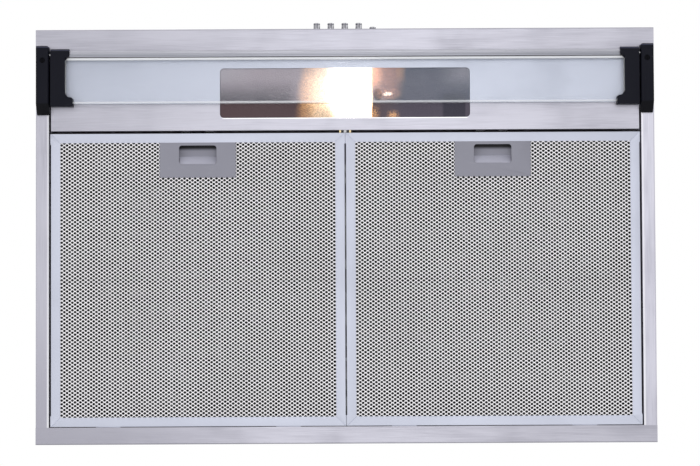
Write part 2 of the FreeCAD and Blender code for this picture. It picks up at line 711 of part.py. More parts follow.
def hinge_block_screws():
    """Screw heads sunk in the hinge blocks, with their driver slots."""
    body = new_body("hinge_block_screws")
    low = "block_bottom + sheet / 2"
    high = "block_bottom + 2 * sheet"
    middles = [f"{side} * block_middle" for side in (-1, 1)]
    across = "front_edge + block_screw_behind"
    add(body, "z", low, high, *[disc(middle, across, "screw_head") for middle in middles])
    cut(body, "z", low, f"{low} + sheet / 2", *[
        rect(f"{middle} - screw_head / 6", f"{middle} + screw_head / 6",
             f"{across} - screw_head", f"{across} + screw_head") for middle in middles
    ])


def visor_bracket(name, side):
    """Swinging bracket: an arm with a round nose and two fingers that hold the glass."""
    body = new_body(f"{name}_visor_bracket")
    top = "pivot_z + nose_radius"
    low, high = span(side, "bracket_inner", "bracket_outer")
    add(body, "x", low, high, rect("pivot_y", "bracket_end", "block_bottom", top))
    add(body, "x", low, high, disc("pivot_y", "pivot_z", "nose_radius"))
    low, high = span(side, "bracket_inner - finger_front", "bracket_inner")
    add(body, "x", low, high, disc("pivot_y", "pivot_z", "nose_radius"))
    end = "pivot_y + nose_radius + slack"
    tip = f"{side} * (bracket_inner - finger_front - slack)"
    cut(body, "z", "block_bottom", top, poly(
        (tip, "pivot_y + finger_slope"), (tip, end), (f"{side} * bracket_inner", end),
    ))
    low, high = span(side, "bracket_inner - finger_rear", "bracket_inner")
    add(body, "x", low, high, rect("bracket_end - finger_long", "bracket_end", "block_bottom", top))
    soften(body, "finger_corner", "z", x=[f"{side} * (bracket_inner - finger_rear)"],
           y=["bracket_end - finger_long"])
    soften(body, "finger_root", "z", x=[f"{side} * bracket_inner"], y=["bracket_end - finger_long"])
    soften(body, "bend", "x", y=["bracket_end"], z=["block_bottom"])
    low, high = span(side, "bracket_inner - finger_rear", "pane_half + slack")
    cut(body, "x", low, high, rect("pane_front - slack", "pane_rear + slack", "pane_bottom", "pane_top"))
    low, high = span(side, "pane_half + 2 * slack", "bracket_outer")
    cut(body, "x", low, high, disc("pivot_y", "pivot_z", "pin_radius"))


def visor_pins():
    """Steel pins fixed in the brackets and turning in the hinge blocks."""
    body = new_body("visor_pins")
    for side in SIDES.values():
        low, high = span(side, "pane_half + 2 * slack", "block_middle - slack")
        add(body, "x", low, high, disc("pivot_y", "pivot_z", "pin_radius"))


def visor_glass():
    """Clear pane of the visor."""
    body = new_body("visor_glass")
    add(body, "z", "pane_bottom", "pane_top", rect("-pane_half", "pane_half", "pane_front", "pane_rear"))
    dress(body, "Chamfer", "slack", edges_like(body.Tip.Shape, "x", y=["pane_rear"]))


def visor_spine():
    """Ridged trim bar along the front edge of the pane."""
    body = new_body("visor_spine")
    half = "bracket_inner - finger_front - snug"
    front = "pivot_y - spine_ahead"
    rear = f"{front} + spine_long"
    low = "pivot_z - spine_high / 2"
    high = "pivot_z + spine_high / 2"
    add(body, "x", f"-({half})", half, rect(front, rear, low, high))
    soften(body, "bend", "x", y=[front], z=[low, high])
    cut(body, "x", f"-({half})", half, rect("pane_front", rear, "pane_bottom", "pane_top"))
    step = "spine_long / 4"
    cut(body, "x", f"-({half})", half, *[
        rect(f"{front} + {place} * {step} - ridge / 2", f"{front} + {place} * {step} + ridge / 2",
             low, f"{low} + ridge_deep") for place in (1, 2, 3)
    ])


# ---- controls

def button_bezel():
    """Surround of the buttons on the front face."""
    body = new_body("button_bezel")
    low = "-half_depth - bezel_thick"
    add(body, "y", low, "-half_depth",
        rect("-bezel_wide / 2", "bezel_wide / 2", "button_z - bezel_high / 2", "button_z + bezel_high / 2"))
    soften(body, "bezel_high / 4", "y", x=["-bezel_wide / 2", "bezel_wide / 2"],
           z=["button_z - bezel_high / 2", "button_z + bezel_high / 2"])
    cut(body, "y", low, "-half_depth", *[
        disc(f"{place} * button_pitch", "button_z", "button_radius + button_hole_play")
        for place in range(-2, 3)
    ])


def switch_case():
    """Switch case behind the front face, bored for the five buttons."""
    body = new_body("switch_case")
    front = "-half_depth + sheet"
    add(body, "y", front, f"{front} + switch_deep",
        rect("-bezel_wide / 2", "bezel_wide / 2", "button_z - bezel_high / 2", "button_z + bezel_high / 2"))
    places = [f"{place} * button_pitch" for place in range(-2, 3)]
    cut(body, "y", front, f"{front} + button_travel + sheet", *[
        disc(place, "button_z", "button_radius + button_hole_play") for place in places
    ])
    cut(body, "y", f"{front} + button_travel + sheet", f"{front} + stem_long + button_travel + 2 * sheet", *[
        disc(place, "button_z", "stem_radius + stem_play") for place in places
    ])


def button(name, place, pressed=False):
    """One round push button on its stem; a pressed one sits deeper by its travel."""
    body = new_body(name, x=f"{place} * button_pitch", y="button_travel" if pressed else "0", z="button_z")
    shoulder = "-half_depth + sheet"
    add(body, "y", "-half_depth - button_out", shoulder, disc("0", "0", "button_radius"))
    face = amount("-half_depth - button_out")
    ring = [f"Edge{number}" for number, edge in enumerate(body.Tip.Shape.Edges, start=1)
            if abs(edge.BoundBox.YMax - face) < SMALLEST]
    dress(body, "Fillet", "bend / 2", ring)
    add(body, "y", shoulder, f"{shoulder} + stem_long", disc("0", "0", "stem_radius"))


# ---- filters and latches

def filter_body(name, side, label):
    """A body for one piece of the left or right filter, drawn about the filter's own middle."""
    return new_body(f"{name}_{label}", x=f"{side} * filter_centre")


def filter_frame(name, side):
    """Mitred channel frame with corner bumpers and two tabs over the rear rim."""
    body = filter_body(name, side, "filter_frame")
    half = "filter_wide / 2"
    add(body, "z", "rim_top", "filter_top", rect(f"-{half}", half, "filter_front", "filter_rear"),
        rect(f"filter_rail - {half}", f"{half} - filter_rail",
             "filter_front + filter_rail", "filter_rear - filter_rail"))
    cut(body, "z", "skin_bottom", "skin_top", rect(
        f"filter_sheet - {half}", f"{half} - filter_sheet",
        "filter_front + filter_sheet", "filter_rear - filter_sheet"))
    for across in (-1, 1):
        low, high = span(across, half, f"{half} + bumper_proud")
        add(body, "z", "rim_top", "filter_top",
            rect(low, high, "filter_front", "filter_front + bumper_long"),
            rect(low, high, "filter_rear - bumper_long", "filter_rear"))
    for depth_low, depth_high in (("rim_top", "rim_top + filter_sheet / 2"),
                                  ("filter_top - filter_sheet / 2", "filter_top")):
        cut(body, "z", depth_low, depth_high, *mitre_lines(half))
    tabs = [f"{across} * tab_apart / 2" for across in (-1, 1)]
    add(body, "z", "rim_top + lift", "rim_top + lift + tab_thick", *[
        rect(f"{tab} - tab_wide / 2", f"{tab} + tab_wide / 2", "filter_rear - filter_sheet / 2",
             "filter_rear + tab_long") for tab in tabs
    ])


def mitre_lines(half):
    """Four thin slanting slots across the corners of a filter frame."""
    outlines = []
    for across in (-1, 1):
        for corner, inward in (("filter_front", 1), ("filter_rear", -1)):
            start = f"{across} * ({half} - mitre)"
            end = f"{across} * ({half} - filter_rail + mitre)"
            first = f"{corner} + {inward} * mitre"
            last = f"{corner} + {inward} * (filter_rail - mitre)"
            outlines.append(poly(
                (start, first),
                (f"{start} - {across} * mitre", first),
                (end, f"{last} - {inward} * mitre"),
                (end, last),
                (f"{end} + {across} * mitre", last),
                (start, f"{first} + {inward} * mitre"),
            ))
    return outlines


def latch_opening(body, low, high):
    """Opening in a filter layer for the latch case."""
    cut(body, "z", low, high, rect("-latch_half - snug", "latch_half + snug",
                                   "latch_front", "latch_rear - latch_brim + snug"))


def filter_cover(name, side, label, low, high):
    """One perforated cover of a filter, let into the frame."""
    body = filter_body(name, side, label)
    half = "filter_wide / 2 - filter_sheet"
    add(body, "z", low, high, rect(f"-({half})", half, "filter_front + filter_sheet", "filter_rear - filter_sheet"))
    latch_opening(body, low, high)


def filter_pack(name, side):
    """Waved mesh layer between the two covers."""
    body = filter_body(name, side, "filter_pack")
    low = "skin_bottom + filter_skin"
    high = "skin_top - filter_skin"
    start = "filter_sheet - filter_wide / 2"
    wave = add(body, "y", "filter_front + filter_sheet", "filter_rear - filter_sheet", poly(
        (start, low),
        (f"{start} + wave_pitch / 2", f"{high} - wave_sheet"),
        (f"{start} + wave_pitch", low),
        (f"{start} + wave_pitch", f"{low} + wave_sheet"),
        (f"{start} + wave_pitch / 2", high),
        (start, f"{low} + wave_sheet"),
    ))
    row = body.newObject("PartDesign::LinearPattern", f"{name}_filter_pack_waves")
    row.Originals = [wave]
    axis = next(item for item in body.Origin.OriginFeatures if item.Role == "X_Axis")
    row.Direction = (axis, [""])
    row.setExpression("Length", formula("wave_pitch * (wave_count - 1)"))
    row.setExpression("Occurrences", formula("wave_count"))
    body.Tip = row
    doc.recompute()
    latch_opening(body, low, high)


def latch_case(name, side):
    """Grey latch cover and the case above it that the slide runs in."""
    body = filter_body(name, side, "latch_case")
    add(body, "z", "latch_bottom", "skin_bottom",
        rect("-latch_wide / 2", "latch_wide / 2", "latch_front", "latch_rear"))
    soften(body, "latch_corner", "z", x=["-latch_wide / 2", "latch_wide / 2"], y=["latch_rear"])
    rear = "latch_rear - latch_brim"
    add(body, "z", "skin_bottom", "latch_top", rect("-latch_half", "latch_half", "latch_front", rear))
    cut(body, "z", "latch_inside", "latch_top - latch_wall", rect(
        "latch_wall - latch_half", "latch_half - latch_wall", "latch_front + latch_wall", f"{rear} - latch_wall"))
    cut(body, "z", "latch_bottom", "latch_inside",
        rect("-recess_wide / 2", "recess_wide / 2", "recess_start", "recess_end"))
    soften(body, "recess_corner", "z", x=["-recess_wide / 2", "recess_wide / 2"],
           y=["recess_start", "recess_end"])
    cut(body, "y", "latch_front", "latch_front + latch_wall", *[
        rect(f"{bolt} * bolt_apart / 2 - bolt_wide / 2 - slack", f"{bolt} * bolt_apart / 2 + bolt_wide / 2 + slack",
             "bolt_bottom - slack", "bolt_top + slack") for bolt in (-1, 1)
    ])


def latch_slide(name, side):
    """Slide with two bolts in front and a ramp for the finger behind."""
    body = filter_body(name, side, "latch_slide")
    half = "latch_half - latch_wall - slack"
    front = "latch_front + latch_wall + slack"
    rear = "latch_rear - latch_brim - latch_wall - slack - latch_travel"
    add(body, "z", "bolt_bottom", "bolt_top", rect(f"-({half})", half, front, rear))
    add(body, "z", "bolt_bottom", "bolt_top", *[
        rect(f"{bolt} * bolt_apart / 2 - bolt_wide / 2", f"{bolt} * bolt_apart / 2 + bolt_wide / 2",
             "panel_rear + bolt_short", front) for bolt in (-1, 1)
    ])
    low = "latch_inside + lift"
    half = "recess_wide / 2 - lift"
    add(body, "x", f"-({half})", half, poly(
        ("recess_start + ramp_start", "bolt_bottom"),
        ("recess_start + ramp_start + ramp_long", low),
        (rear, low),
        (rear, "bolt_bottom"),
    ))


def filters():
    """Both filters with their latches."""
    for name, side in SIDES.items():
        filter_frame(name, side)
        filter_cover(name, side, "filter_face", "skin_bottom", "skin_bottom + filter_skin")
        filter_cover(name, side, "filter_back", "skin_top - filter_skin", "skin_top")
        filter_pack(name, side)
        latch_case(name, side)
        latch_slide(name, side)


# ---- blower and duct

def scroll(body, low, high, inset, remove=False):
    """The spiral outline and its outlet box between two heights, drawn in by an inset."""
    centres = [("blower_x", "blower_y", 0), ("blower_x + case_growth", "blower_y", 1),
               ("blower_x + case_growth", "blower_y + case_growth", 2)]
    for across, behind, step in centres:
        radius = f"case_radius + {step} * case_growth - {inset}"
        round_part(body, across, behind, low, high, radius, quarter=step + 1, remove=remove)
    far = f"blower_x + case_radius + 3 * case_growth - {inset}"
    shape = cut if remove else add
    shape(body, "z", low, high, poly(
        ("blower_x", f"blower_y + case_radius - {inset}"),
        ("blower_x", "blower_y"),
        ("blower_x + case_growth", "blower_y"),
        ("blower_x + case_growth", "blower_y + case_growth"),
        (far, "blower_y + case_growth"),
        (far, "plenum_front + case_sheet"),
        (f"blower_x + mouth_inner + {inset}", "plenum_front + case_sheet"),
        (f"blower_x + mouth_inner + {inset}", f"blower_y + case_radius - {inset}"),
    ))
    shape(body, "z", low, high, rect(
        f"{inset} - plenum_wide / 2", f"plenum_wide / 2 - {inset}",
        f"plenum_front + {inset}", f"plenum_rear - {inset}"))


def blower_case():
    """Scroll shaped case with its outlet box, open above, with the air inlet below."""
    body = new_body("blower_case")
    scroll(body, "case_bottom", "case_top - case_sheet", "0")
    scroll(body, "case_bottom + case_sheet", "case_top - case_sheet", "case_sheet", remove=True)
    cut(body, "z", "case_bottom", "case_bottom + case_sheet", disc("blower_x", "blower_y", "inlet_radius"))


def blower_cover():
    """Lid of the blower case, with the duct hole."""
    body = new_body("blower_cover")
    scroll(body, "case_top - case_sheet", "case_top", "0")
    cut(body, "z", "case_top - case_sheet", "case_top", disc("0", "collar_y", "collar_inner"))


def outlet_ring():
    """Short ring between the blower cover and the hood top."""
    body = new_body("outlet_ring")
    add(body, "z", "case_top", "-sheet", disc("0", "collar_y", "ring_outer"),
        disc("0", "collar_y", "collar_inner"))


def inlet_ring():
    """Rolled ring around the air inlet."""
    body = new_body("inlet_ring")
    turn(body, "blower_x", "blower_y", "case_bottom", "z", poly(
        ("inlet_radius", "-case_sheet"),
        ("inlet_radius + inlet_roll", "-case_sheet"),
        ("inlet_radius + inlet_roll", "0"),
        ("inlet_radius", "0"),
        ("inlet_radius", "inlet_roll"),
        ("inlet_radius - case_sheet", "inlet_roll"),
        ("inlet_radius - case_sheet", "0"),
    ))


def blower_wheel():
    """Dished wheel with a ring of blades."""
    body = new_body("blower_wheel", x="blower_x", y="blower_y", z="wheel_top")
    inner = "wheel_radius - blade_deep"
    turn(body, "0", "0", "0", "z", poly(
        ("shaft_radius", "-dish_deep"),
        ("dish_radius", "-dish_deep"),
        ("dish_radius", "-wheel_sheet"),
        ("wheel_radius", "-wheel_sheet"),
        ("wheel_radius", "0"),
        ("dish_radius - wheel_sheet", "0"),
        ("dish_radius - wheel_sheet", "wheel_sheet - dish_deep"),
        ("3 * shaft_radius", "wheel_sheet - dish_deep"),
        ("3 * shaft_radius", "2 * shaft_radius - dish_deep - wheel_sheet"),
        ("shaft_radius", "2 * shaft_radius - dish_deep - wheel_sheet"),
    ))
    add(body, "z", "-wheel_high", "2 * wheel_sheet - wheel_high", disc("0", "0", "wheel_radius"),
        disc("0", "0", "wheel_radius - blade_deep / 3"))
    lean = "blade_deep / 3"
    blade = add(body, "z", "2 * wheel_sheet - wheel_high", "-wheel_sheet", poly(
        (inner, "0"),
        ("wheel_radius - slack", lean),
        ("wheel_radius - slack", f"{lean} + blade_thick"),
        (inner, "blade_thick"),
    ))
    ring = body.newObject("PartDesign::PolarPattern", "blower_wheel_blades")
    ring.Originals = [blade]
    axis = next(item for item in body.Origin.OriginFeatures if item.Role == "Z_Axis")
    ring.Axis = (axis, [""])
    ring.Angle = 360
    ring.setExpression("Occurrences", formula("blade_count"))
    body.Tip = ring
    doc.recompute()


def motor():
    """Motor can hung from the blower cover, bored for its shaft."""
    body = new_body("motor")
    top = "case_top - case_sheet"
    round_part(body, "blower_x", "blower_y", f"{top} - motor_high", top, "motor_radius")
    lower = [f"Edge{number}" for number, edge in enumerate(body.Tip.Shape.Edges, start=1)
             if edge.Curve.TypeId == "Part::GeomCircle"
             and abs(edge.CenterOfMass.z - amount(f"{top} - motor_high")) < SMALLEST]
    dress(body, "Fillet", "shaft_radius", lower)
    cut(body, "z", f"{top} - motor_high", f"{top} - 2 * shaft_radius",
        disc("blower_x", "blower_y", "shaft_radius + shaft_play"))


def motor_shaft():
    """Shaft fixed in the wheel and turning in the motor."""
    body = new_body("motor_shaft")
    add(body, "z", "wheel_top - dish_deep", "case_top - case_sheet - 2 * shaft_radius - wheel_sheet",
        disc("blower_x", "blower_y", "shaft_radius"))


def duct_collar():
    """Round collar that the duct slips over, bored for the flap rods."""
    body = new_body("duct_collar")
    add(body, "z", "0", "collar_wall", disc("0", "collar_y", "collar_radius + collar_brim"),
        disc("0", "collar_y", "collar_inner"))
    add(body, "z", "collar_wall", "collar_high", disc("0", "collar_y", "collar_radius"),
        disc("0", "collar_y", "collar_inner"))
    cut(body, "x", "-collar_radius", "collar_radius", *[
        disc(f"collar_y + {side} * flap_apart / 2", "flap_height", "flap_rod + flap_play") for side in (-1, 1)
    ])


def damper_flap(name, side):
    """Half round flap on its own rod."""
    body = new_body(f"{name}_damper_flap", y="collar_y", z="flap_height")
    radius = "collar_inner - flap_edge"
    add(body, "z", "-flap_thick / 2", "flap_thick / 2", disc("0", "0", radius))
    line = f"{side} * flap_apart / 2"
    wide = "2 * collar_radius"
    cut(body, "z", "-flap_thick / 2", "flap_thick / 2", rect("-collar_radius", "collar_radius",
                                                            line, f"{line} - {side} * {wide}"))
    half = "collar_inner + collar_wall / 2"
    add(body, "x", f"-({half})", half, disc(line, "0", "flap_rod"))


# ---- wiring

def wiring_box():
    """Box for the mains connection under the hood top, open below."""
    body = new_body("wiring_box")
    half = "wiring_wide / 2"
    deep = "wiring_long / 2"
    add(body, "z", "-sheet - wiring_high", "-sheet",
        rect(f"wiring_x - {half}", f"wiring_x + {half}", f"wiring_y - {deep}", f"wiring_y + {deep}"),
        rect(f"wiring_x - {half} + sheet", f"wiring_x + {half} - sheet",
             f"wiring_y - {deep} + sheet", f"wiring_y + {deep} - sheet"))


def wiring_cover():
    """Cover of the wiring box."""
    body = new_body("wiring_cover")
    half = "wiring_wide / 2"
    deep = "wiring_long / 2"
    low = "-2 * sheet - wiring_high"
    add(body, "z", low, "-sheet - wiring_high",
        rect(f"wiring_x - {half}", f"wiring_x + {half}", f"wiring_y - {deep}", f"wiring_y + {deep}"))
    soften(body, "2 * bend", "z", x=[f"wiring_x - {half}", f"wiring_x + {half}"],
           y=[f"wiring_y - {deep}", f"wiring_y + {deep}"])


def cable_gland():
    """Gland for the mains cable, through the hood top."""
    body = new_body("cable_gland")
    low = "gland_out - gland_long"
    add(body, "z", low, "gland_out", disc("wiring_x", "gland_y", "gland_radius"),
        disc("wiring_x", "gland_y", "gland_bore"))
    add(body, "z", "0", "gland_out / 2", disc("wiring_x", "gland_y", "gland_radius + 2 * sheet"),
        disc("wiring_x", "gland_y", "gland_bore"))


def capacitor():
    """Motor capacitor under the hood top."""
    body = new_body("capacitor")
    axis_z = "-sheet - strap_thick - capacitor_radius"
    add(body, "y", "capacitor_y - capacitor_long / 2", "capacitor_y + capacitor_long / 2",
        disc("capacitor_x", axis_z, "capacitor_radius"))


def capacitor_strap():
    """Strap that holds the capacitor to the top."""
    body = new_body("capacitor_strap")
    axis_z = "-sheet - strap_thick - capacitor_radius"
    outer = "capacitor_radius + strap_thick"
    low = "capacitor_y - strap_wide / 2"
    high = "capacitor_y + strap_wide / 2"
    add(body, "y", low, high, disc("capacitor_x", axis_z, outer), disc("capacitor_x", axis_z, "capacitor_radius"))
    for side in (-1, 1):
        add(body, "y", low, high, rect(
            f"capacitor_x + {side} * 3 * strap_thick", f"capacitor_x + {side} * ({outer} + 8 * strap_thick)",
            "-sheet - strap_thick", "-sheet"))


def build():
    """Every piece of the hood."""
    fill_sheet()
    top_panel()
    front_panel()
    rear_panel()
    for name, side in SIDES.items():
        side_panel(name, side)
    shell_rivets()
    light_panel()
    lens()
    lamp_housing()
    lamp_socket()
    socket_clamp()
    lamp_bulb()
    lamp_cap()
    centre_clip()
    for name, side in SIDES.items():
        hinge_block(name, side)
        visor_bracket(name, side)
    hinge_block_screws()
    visor_pins()
    visor_glass()
    visor_spine()
    button_bezel()
    switch_case()
    button("button_fan_off", -2)
    button("button_fan_low", -1)
    button("button_fan_medium", 0)
    button("button_fan_high", 1)
    button("button_light", 2, pressed=True)
    filters()
    blower_case()
    blower_cover()
    outlet_ring()
    inlet_ring()
    blower_wheel()
    motor()
    motor_shaft()
    duct_collar()
    damper_flap("front", -1)
    damper_flap("rear", 1)
    wiring_box()
    wiring_cover()
    cable_gland()
    capacitor()
    capacitor_strap()


def check():
    """Stop on any object that is broken or empty."""
    for item in doc.Objects:
        if "Invalid" in item.State or "Error" in item.State:
            raise ValueError(f"{item.Name} is {item.State}")
        if hasattr(item, "Shape") and item in pieces:
            if item.Shape.isNull() or not item.Shape.isValid():
                raise ValueError(f"{item.Label} has a bad shape")


def write():
    """One STEP file per piece."""
    os.makedirs("parts", exist_ok=True)
    for piece in pieces:
        piece.Shape.exportStep(f"parts/{piece.Label}.step")
        box = piece.Shape.BoundBox
        print(f"{piece.Label}: {len(piece.Shape.Solids)} solids, "
              f"{box.XLength:.1f} x {box.YLength:.1f} x {box.ZLength:.1f}")


build()
doc.recompute()
check()
write()
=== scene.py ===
import json
import math

import bmesh
import bpy
import numpy as np
from bpy.props import FloatProperty, FloatVectorProperty, PointerProperty
from mathutils import Matrix, Vector

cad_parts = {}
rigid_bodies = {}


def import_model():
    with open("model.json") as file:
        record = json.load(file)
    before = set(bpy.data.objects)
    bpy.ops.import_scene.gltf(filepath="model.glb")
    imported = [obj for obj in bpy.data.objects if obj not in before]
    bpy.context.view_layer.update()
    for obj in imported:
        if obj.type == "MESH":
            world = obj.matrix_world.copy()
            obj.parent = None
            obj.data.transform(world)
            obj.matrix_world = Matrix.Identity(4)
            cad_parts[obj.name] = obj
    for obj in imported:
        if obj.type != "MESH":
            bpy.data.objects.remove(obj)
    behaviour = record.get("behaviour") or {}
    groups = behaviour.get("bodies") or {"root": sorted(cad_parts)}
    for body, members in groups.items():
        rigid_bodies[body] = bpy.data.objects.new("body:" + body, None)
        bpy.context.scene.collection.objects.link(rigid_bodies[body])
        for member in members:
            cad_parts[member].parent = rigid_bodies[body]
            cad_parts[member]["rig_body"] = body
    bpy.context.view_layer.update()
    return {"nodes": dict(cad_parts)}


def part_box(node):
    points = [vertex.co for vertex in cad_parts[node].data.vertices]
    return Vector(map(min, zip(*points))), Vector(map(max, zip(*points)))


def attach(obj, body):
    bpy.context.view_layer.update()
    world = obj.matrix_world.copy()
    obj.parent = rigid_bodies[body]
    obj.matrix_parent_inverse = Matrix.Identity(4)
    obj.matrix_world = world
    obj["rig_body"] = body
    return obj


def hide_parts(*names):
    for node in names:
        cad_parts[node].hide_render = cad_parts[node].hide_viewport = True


bl_info = {
    "name": "Range hood",
    "version": (1, 0, 0),
    "blender": (4, 5, 0),
    "location": "View3D > Sidebar > Range hood",
    "description": "Finishes an under cabinet range hood: steel, glass visor, lamp, mesh filters and blower",
    "category": "Object",
}

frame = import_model()
SIDES = ("left", "right")
MM = 0.001
TURN = 2 * math.pi
DOUBLE = 1e-6  # points nearer than this, in metres, are one point
FLAT = 1  # faces within this many degrees are one flat face
SHARP = 30  # edges over this many degrees get a bevel
LENS_BRIM = 4 * MM  # edge of the lens that lies behind the panel
CASE_BRIM = 4 * MM  # flange of a latch case on the mesh


# ---- sizes and colours that a user may change

def colour(name, description, default):
    """A colour property."""
    return FloatVectorProperty(name=name, description=description, subtype="COLOR", size=3, min=0, max=1,
                               default=default)


def length(name, description, default):
    """A length property in metres."""
    return FloatProperty(name=name, description=description, unit="LENGTH", default=default)


class HoodFinishes(bpy.types.PropertyGroup):
    """Colours of the materials."""
    steel: colour("Steel", "Brushed stainless steel", (0.50, 0.495, 0.56))
    # steel_dark also colours the painted shade on the left rear corner and along the rear fold.
    steel_dark: colour("Steel streaks", "Darker brush marks in the steel", (0.36, 0.355, 0.41))
    # Painted reflection: the pane's bluish sheen, painted on the steel behind the glass.
    steel_pane_sheen: colour("Steel behind glass", "Steel seen through the pane", (0.50, 0.53, 0.62))
    aluminium: colour("Aluminium", "Filter frames", (0.585, 0.61, 0.715))
    mesh: colour("Mesh", "Perforated covers of the filters", (0.985, 0.975, 1.0))
    black: colour("Black plastic", "Visor brackets and blocks", (0.005, 0.0055, 0.011))
    grey: colour("Grey plastic", "Filter latches", (0.262, 0.262, 0.312))
    zinc: colour("Zinc", "Galvanised sheet of the blower", (0.50, 0.52, 0.54))
    pane: colour("Pane", "Tint of the visor glass", (0.72, 0.82, 0.95))


class HoodFilter(bpy.types.PropertyGroup):
    """Sizes of the expanded mesh on the filters."""
    pitch_wide: length("Pitch across", "Distance from hole to hole in a row", 0.00654)
    pitch_deep: length("Pitch along", "Distance between rows of the same phase", 0.004587)
    hole_wide: length("Hole width", "Width of one hole", 0.0040)
    hole_deep: length("Hole length", "Length of one hole", 0.0030)
    bond: length("Bond", "How far the crossings of the strands stand out", 0.00018)
    wave: length("Wave", "Pitch of the waved layer", 0.0149)


class HoodLamp(bpy.types.PropertyGroup):
    """The lit lamp."""
    warm: colour("Warm", "Colour of the halo around the lamp", (1.0, 0.50, 0.16))
    core: colour("Core", "Colour of the lamp itself", (1.0, 0.93, 0.78))
    strength: FloatProperty(name="Strength", description="Brightness of the lamp in the lens", default=2.6,
                            min=0)


class HoodStudio(bpy.types.PropertyGroup):
    """Camera and light."""
    distance: length("Distance", "Camera to the underside", 2.6)
    lens: FloatProperty(name="Lens", description="Focal length in millimetres", default=109.36, min=10)
    tilt: FloatProperty(name="Tilt", description="Camera towards the rear", subtype="ANGLE",
                        default=math.radians(2.1))
    roll: FloatProperty(name="Roll", description="Camera roll", subtype="ANGLE", default=math.radians(0.27))
    shift: FloatVectorProperty(name="Shift", description="Camera shift", size=2, precision=5,
                               default=(0.00629, 0.0034))
    world: FloatProperty(name="World", description="Strength of the white surroundings", default=1.0, min=0)


# ---- shader expressions

class Wire:
    """A shader socket; arithmetic on it adds Math nodes to its material."""

    def __init__(self, recipe, socket):
        self.recipe = recipe
        self.socket = socket

    def math(self, operation, *values):
        """A Math node on this socket and more values."""
        sockets = {0: self, **dict(enumerate(values, 1))}
        return self.recipe.add("ShaderNodeMath", {"operation": operation}, sockets)

    def __add__(self, other):
        return self.math("ADD", other)

    def __radd__(self, other):
        return self.math("ADD", other)

    def __mul__(self, other):
        return self.math("MULTIPLY", other)

    def __rmul__(self, other):
        return self.math("MULTIPLY", other)

    def __sub__(self, other):
        return self.math("SUBTRACT", other)

    def __rsub__(self, other):
        return self.math("MULTIPLY", -1).math("ADD", other)

    def __truediv__(self, other):
        return self.math("DIVIDE", other)

    def __pow__(self, other):
        return self.math("POWER", other)

    def smooth(self, low, high):
        """Rises smoothly from 0 at low to 1 at high."""
        return self.recipe.add("ShaderNodeMapRange", {"interpolation_type": "SMOOTHSTEP"},
                               {"Value": self, "From Min": low, "From Max": high})

    def band(self, start, full, fade, end):
        """Rises smoothly from 0 to 1 between start and full, and falls back between fade and end."""
        return self.smooth(start, full) * (1 - self.smooth(fade, end))


class Recipe:
    """One material and the nodes that make it."""

    def __init__(self, name):
        self.material = bpy.data.materials.new(name)
        self.material.use_nodes = True
        self.tree = self.material.node_tree
        self.tree.nodes.clear()
        self.place = None

    def add(self, kind, settings=None, sockets=None, out=0):
        """A node of a kind: settings first, then the values or links of its sockets."""
        node = self.tree.nodes.new(kind)
        for name, value in (settings or {}).items():
            setattr(node, name, value)
        for name, value in (sockets or {}).items():
            if isinstance(value, Wire):
                self.tree.links.new(value.socket, node.inputs[name])
            else:
                node.inputs[name].default_value = value
        return Wire(self, node.outputs[out]) if node.outputs else None

    def object_place(self):
        """Object coordinates, in metres in the row frame."""
        if self.place is None:
            self.place = self.add("ShaderNodeTexCoord", out="Object")
        return self.place

    def part(self, letter):
        """One of the three Object coordinates."""
        return self.add("ShaderNodeSeparateXYZ", None, {0: self.object_place()}, out=letter)

    def noise(self, scale, detail=3.0, stretch=(1, 1, 1)):
        """Noise between 0 and 1 on Object coordinates, stretched per axis."""
        place = self.add("ShaderNodeMapping", None, {"Vector": self.object_place(), "Scale": stretch})
        return self.add("ShaderNodeTexNoise", None, {"Vector": place, "Scale": scale, "Detail": detail})

    def cells(self, scale, out="Distance"):
        """Distance to the nearest of scattered points, or the colour of its cell."""
        return self.add("ShaderNodeTexVoronoi", None, {"Vector": self.object_place(), "Scale": scale}, out)

    def blend(self, factor, first, second):
        """A colour from first to second as factor goes from 0 to 1."""
        return self.add("ShaderNodeMix", {"data_type": "RGBA"},
                        {0: factor, 6: rgba(first), 7: rgba(second)}, out=2)

    def bump(self, height, distance):
        """A normal from a height between 0 and 1 and the distance that 1 stands for."""
        return self.add("ShaderNodeBump", None, {"Height": height, "Distance": distance})

    def finish(self, **sockets):
        """The shader at the end; words in socket names are joined by underscores."""
        named = {name.replace("_", " "): value for name, value in sockets.items()}
        shader = self.add("ShaderNodeBsdfPrincipled", None, named)
        self.add("ShaderNodeOutputMaterial", None, {"Surface": shader})
        return self.material


def rgba(value):
    """Four numbers of a colour, or a link as it is."""
    return value if isinstance(value, Wire) else (*tuple(value)[:3], 1.0)


def dim(value, factor):
    """A colour multiplied by a factor."""
    return tuple(channel * factor for channel in tuple(value)[:3])


# ---- finishes

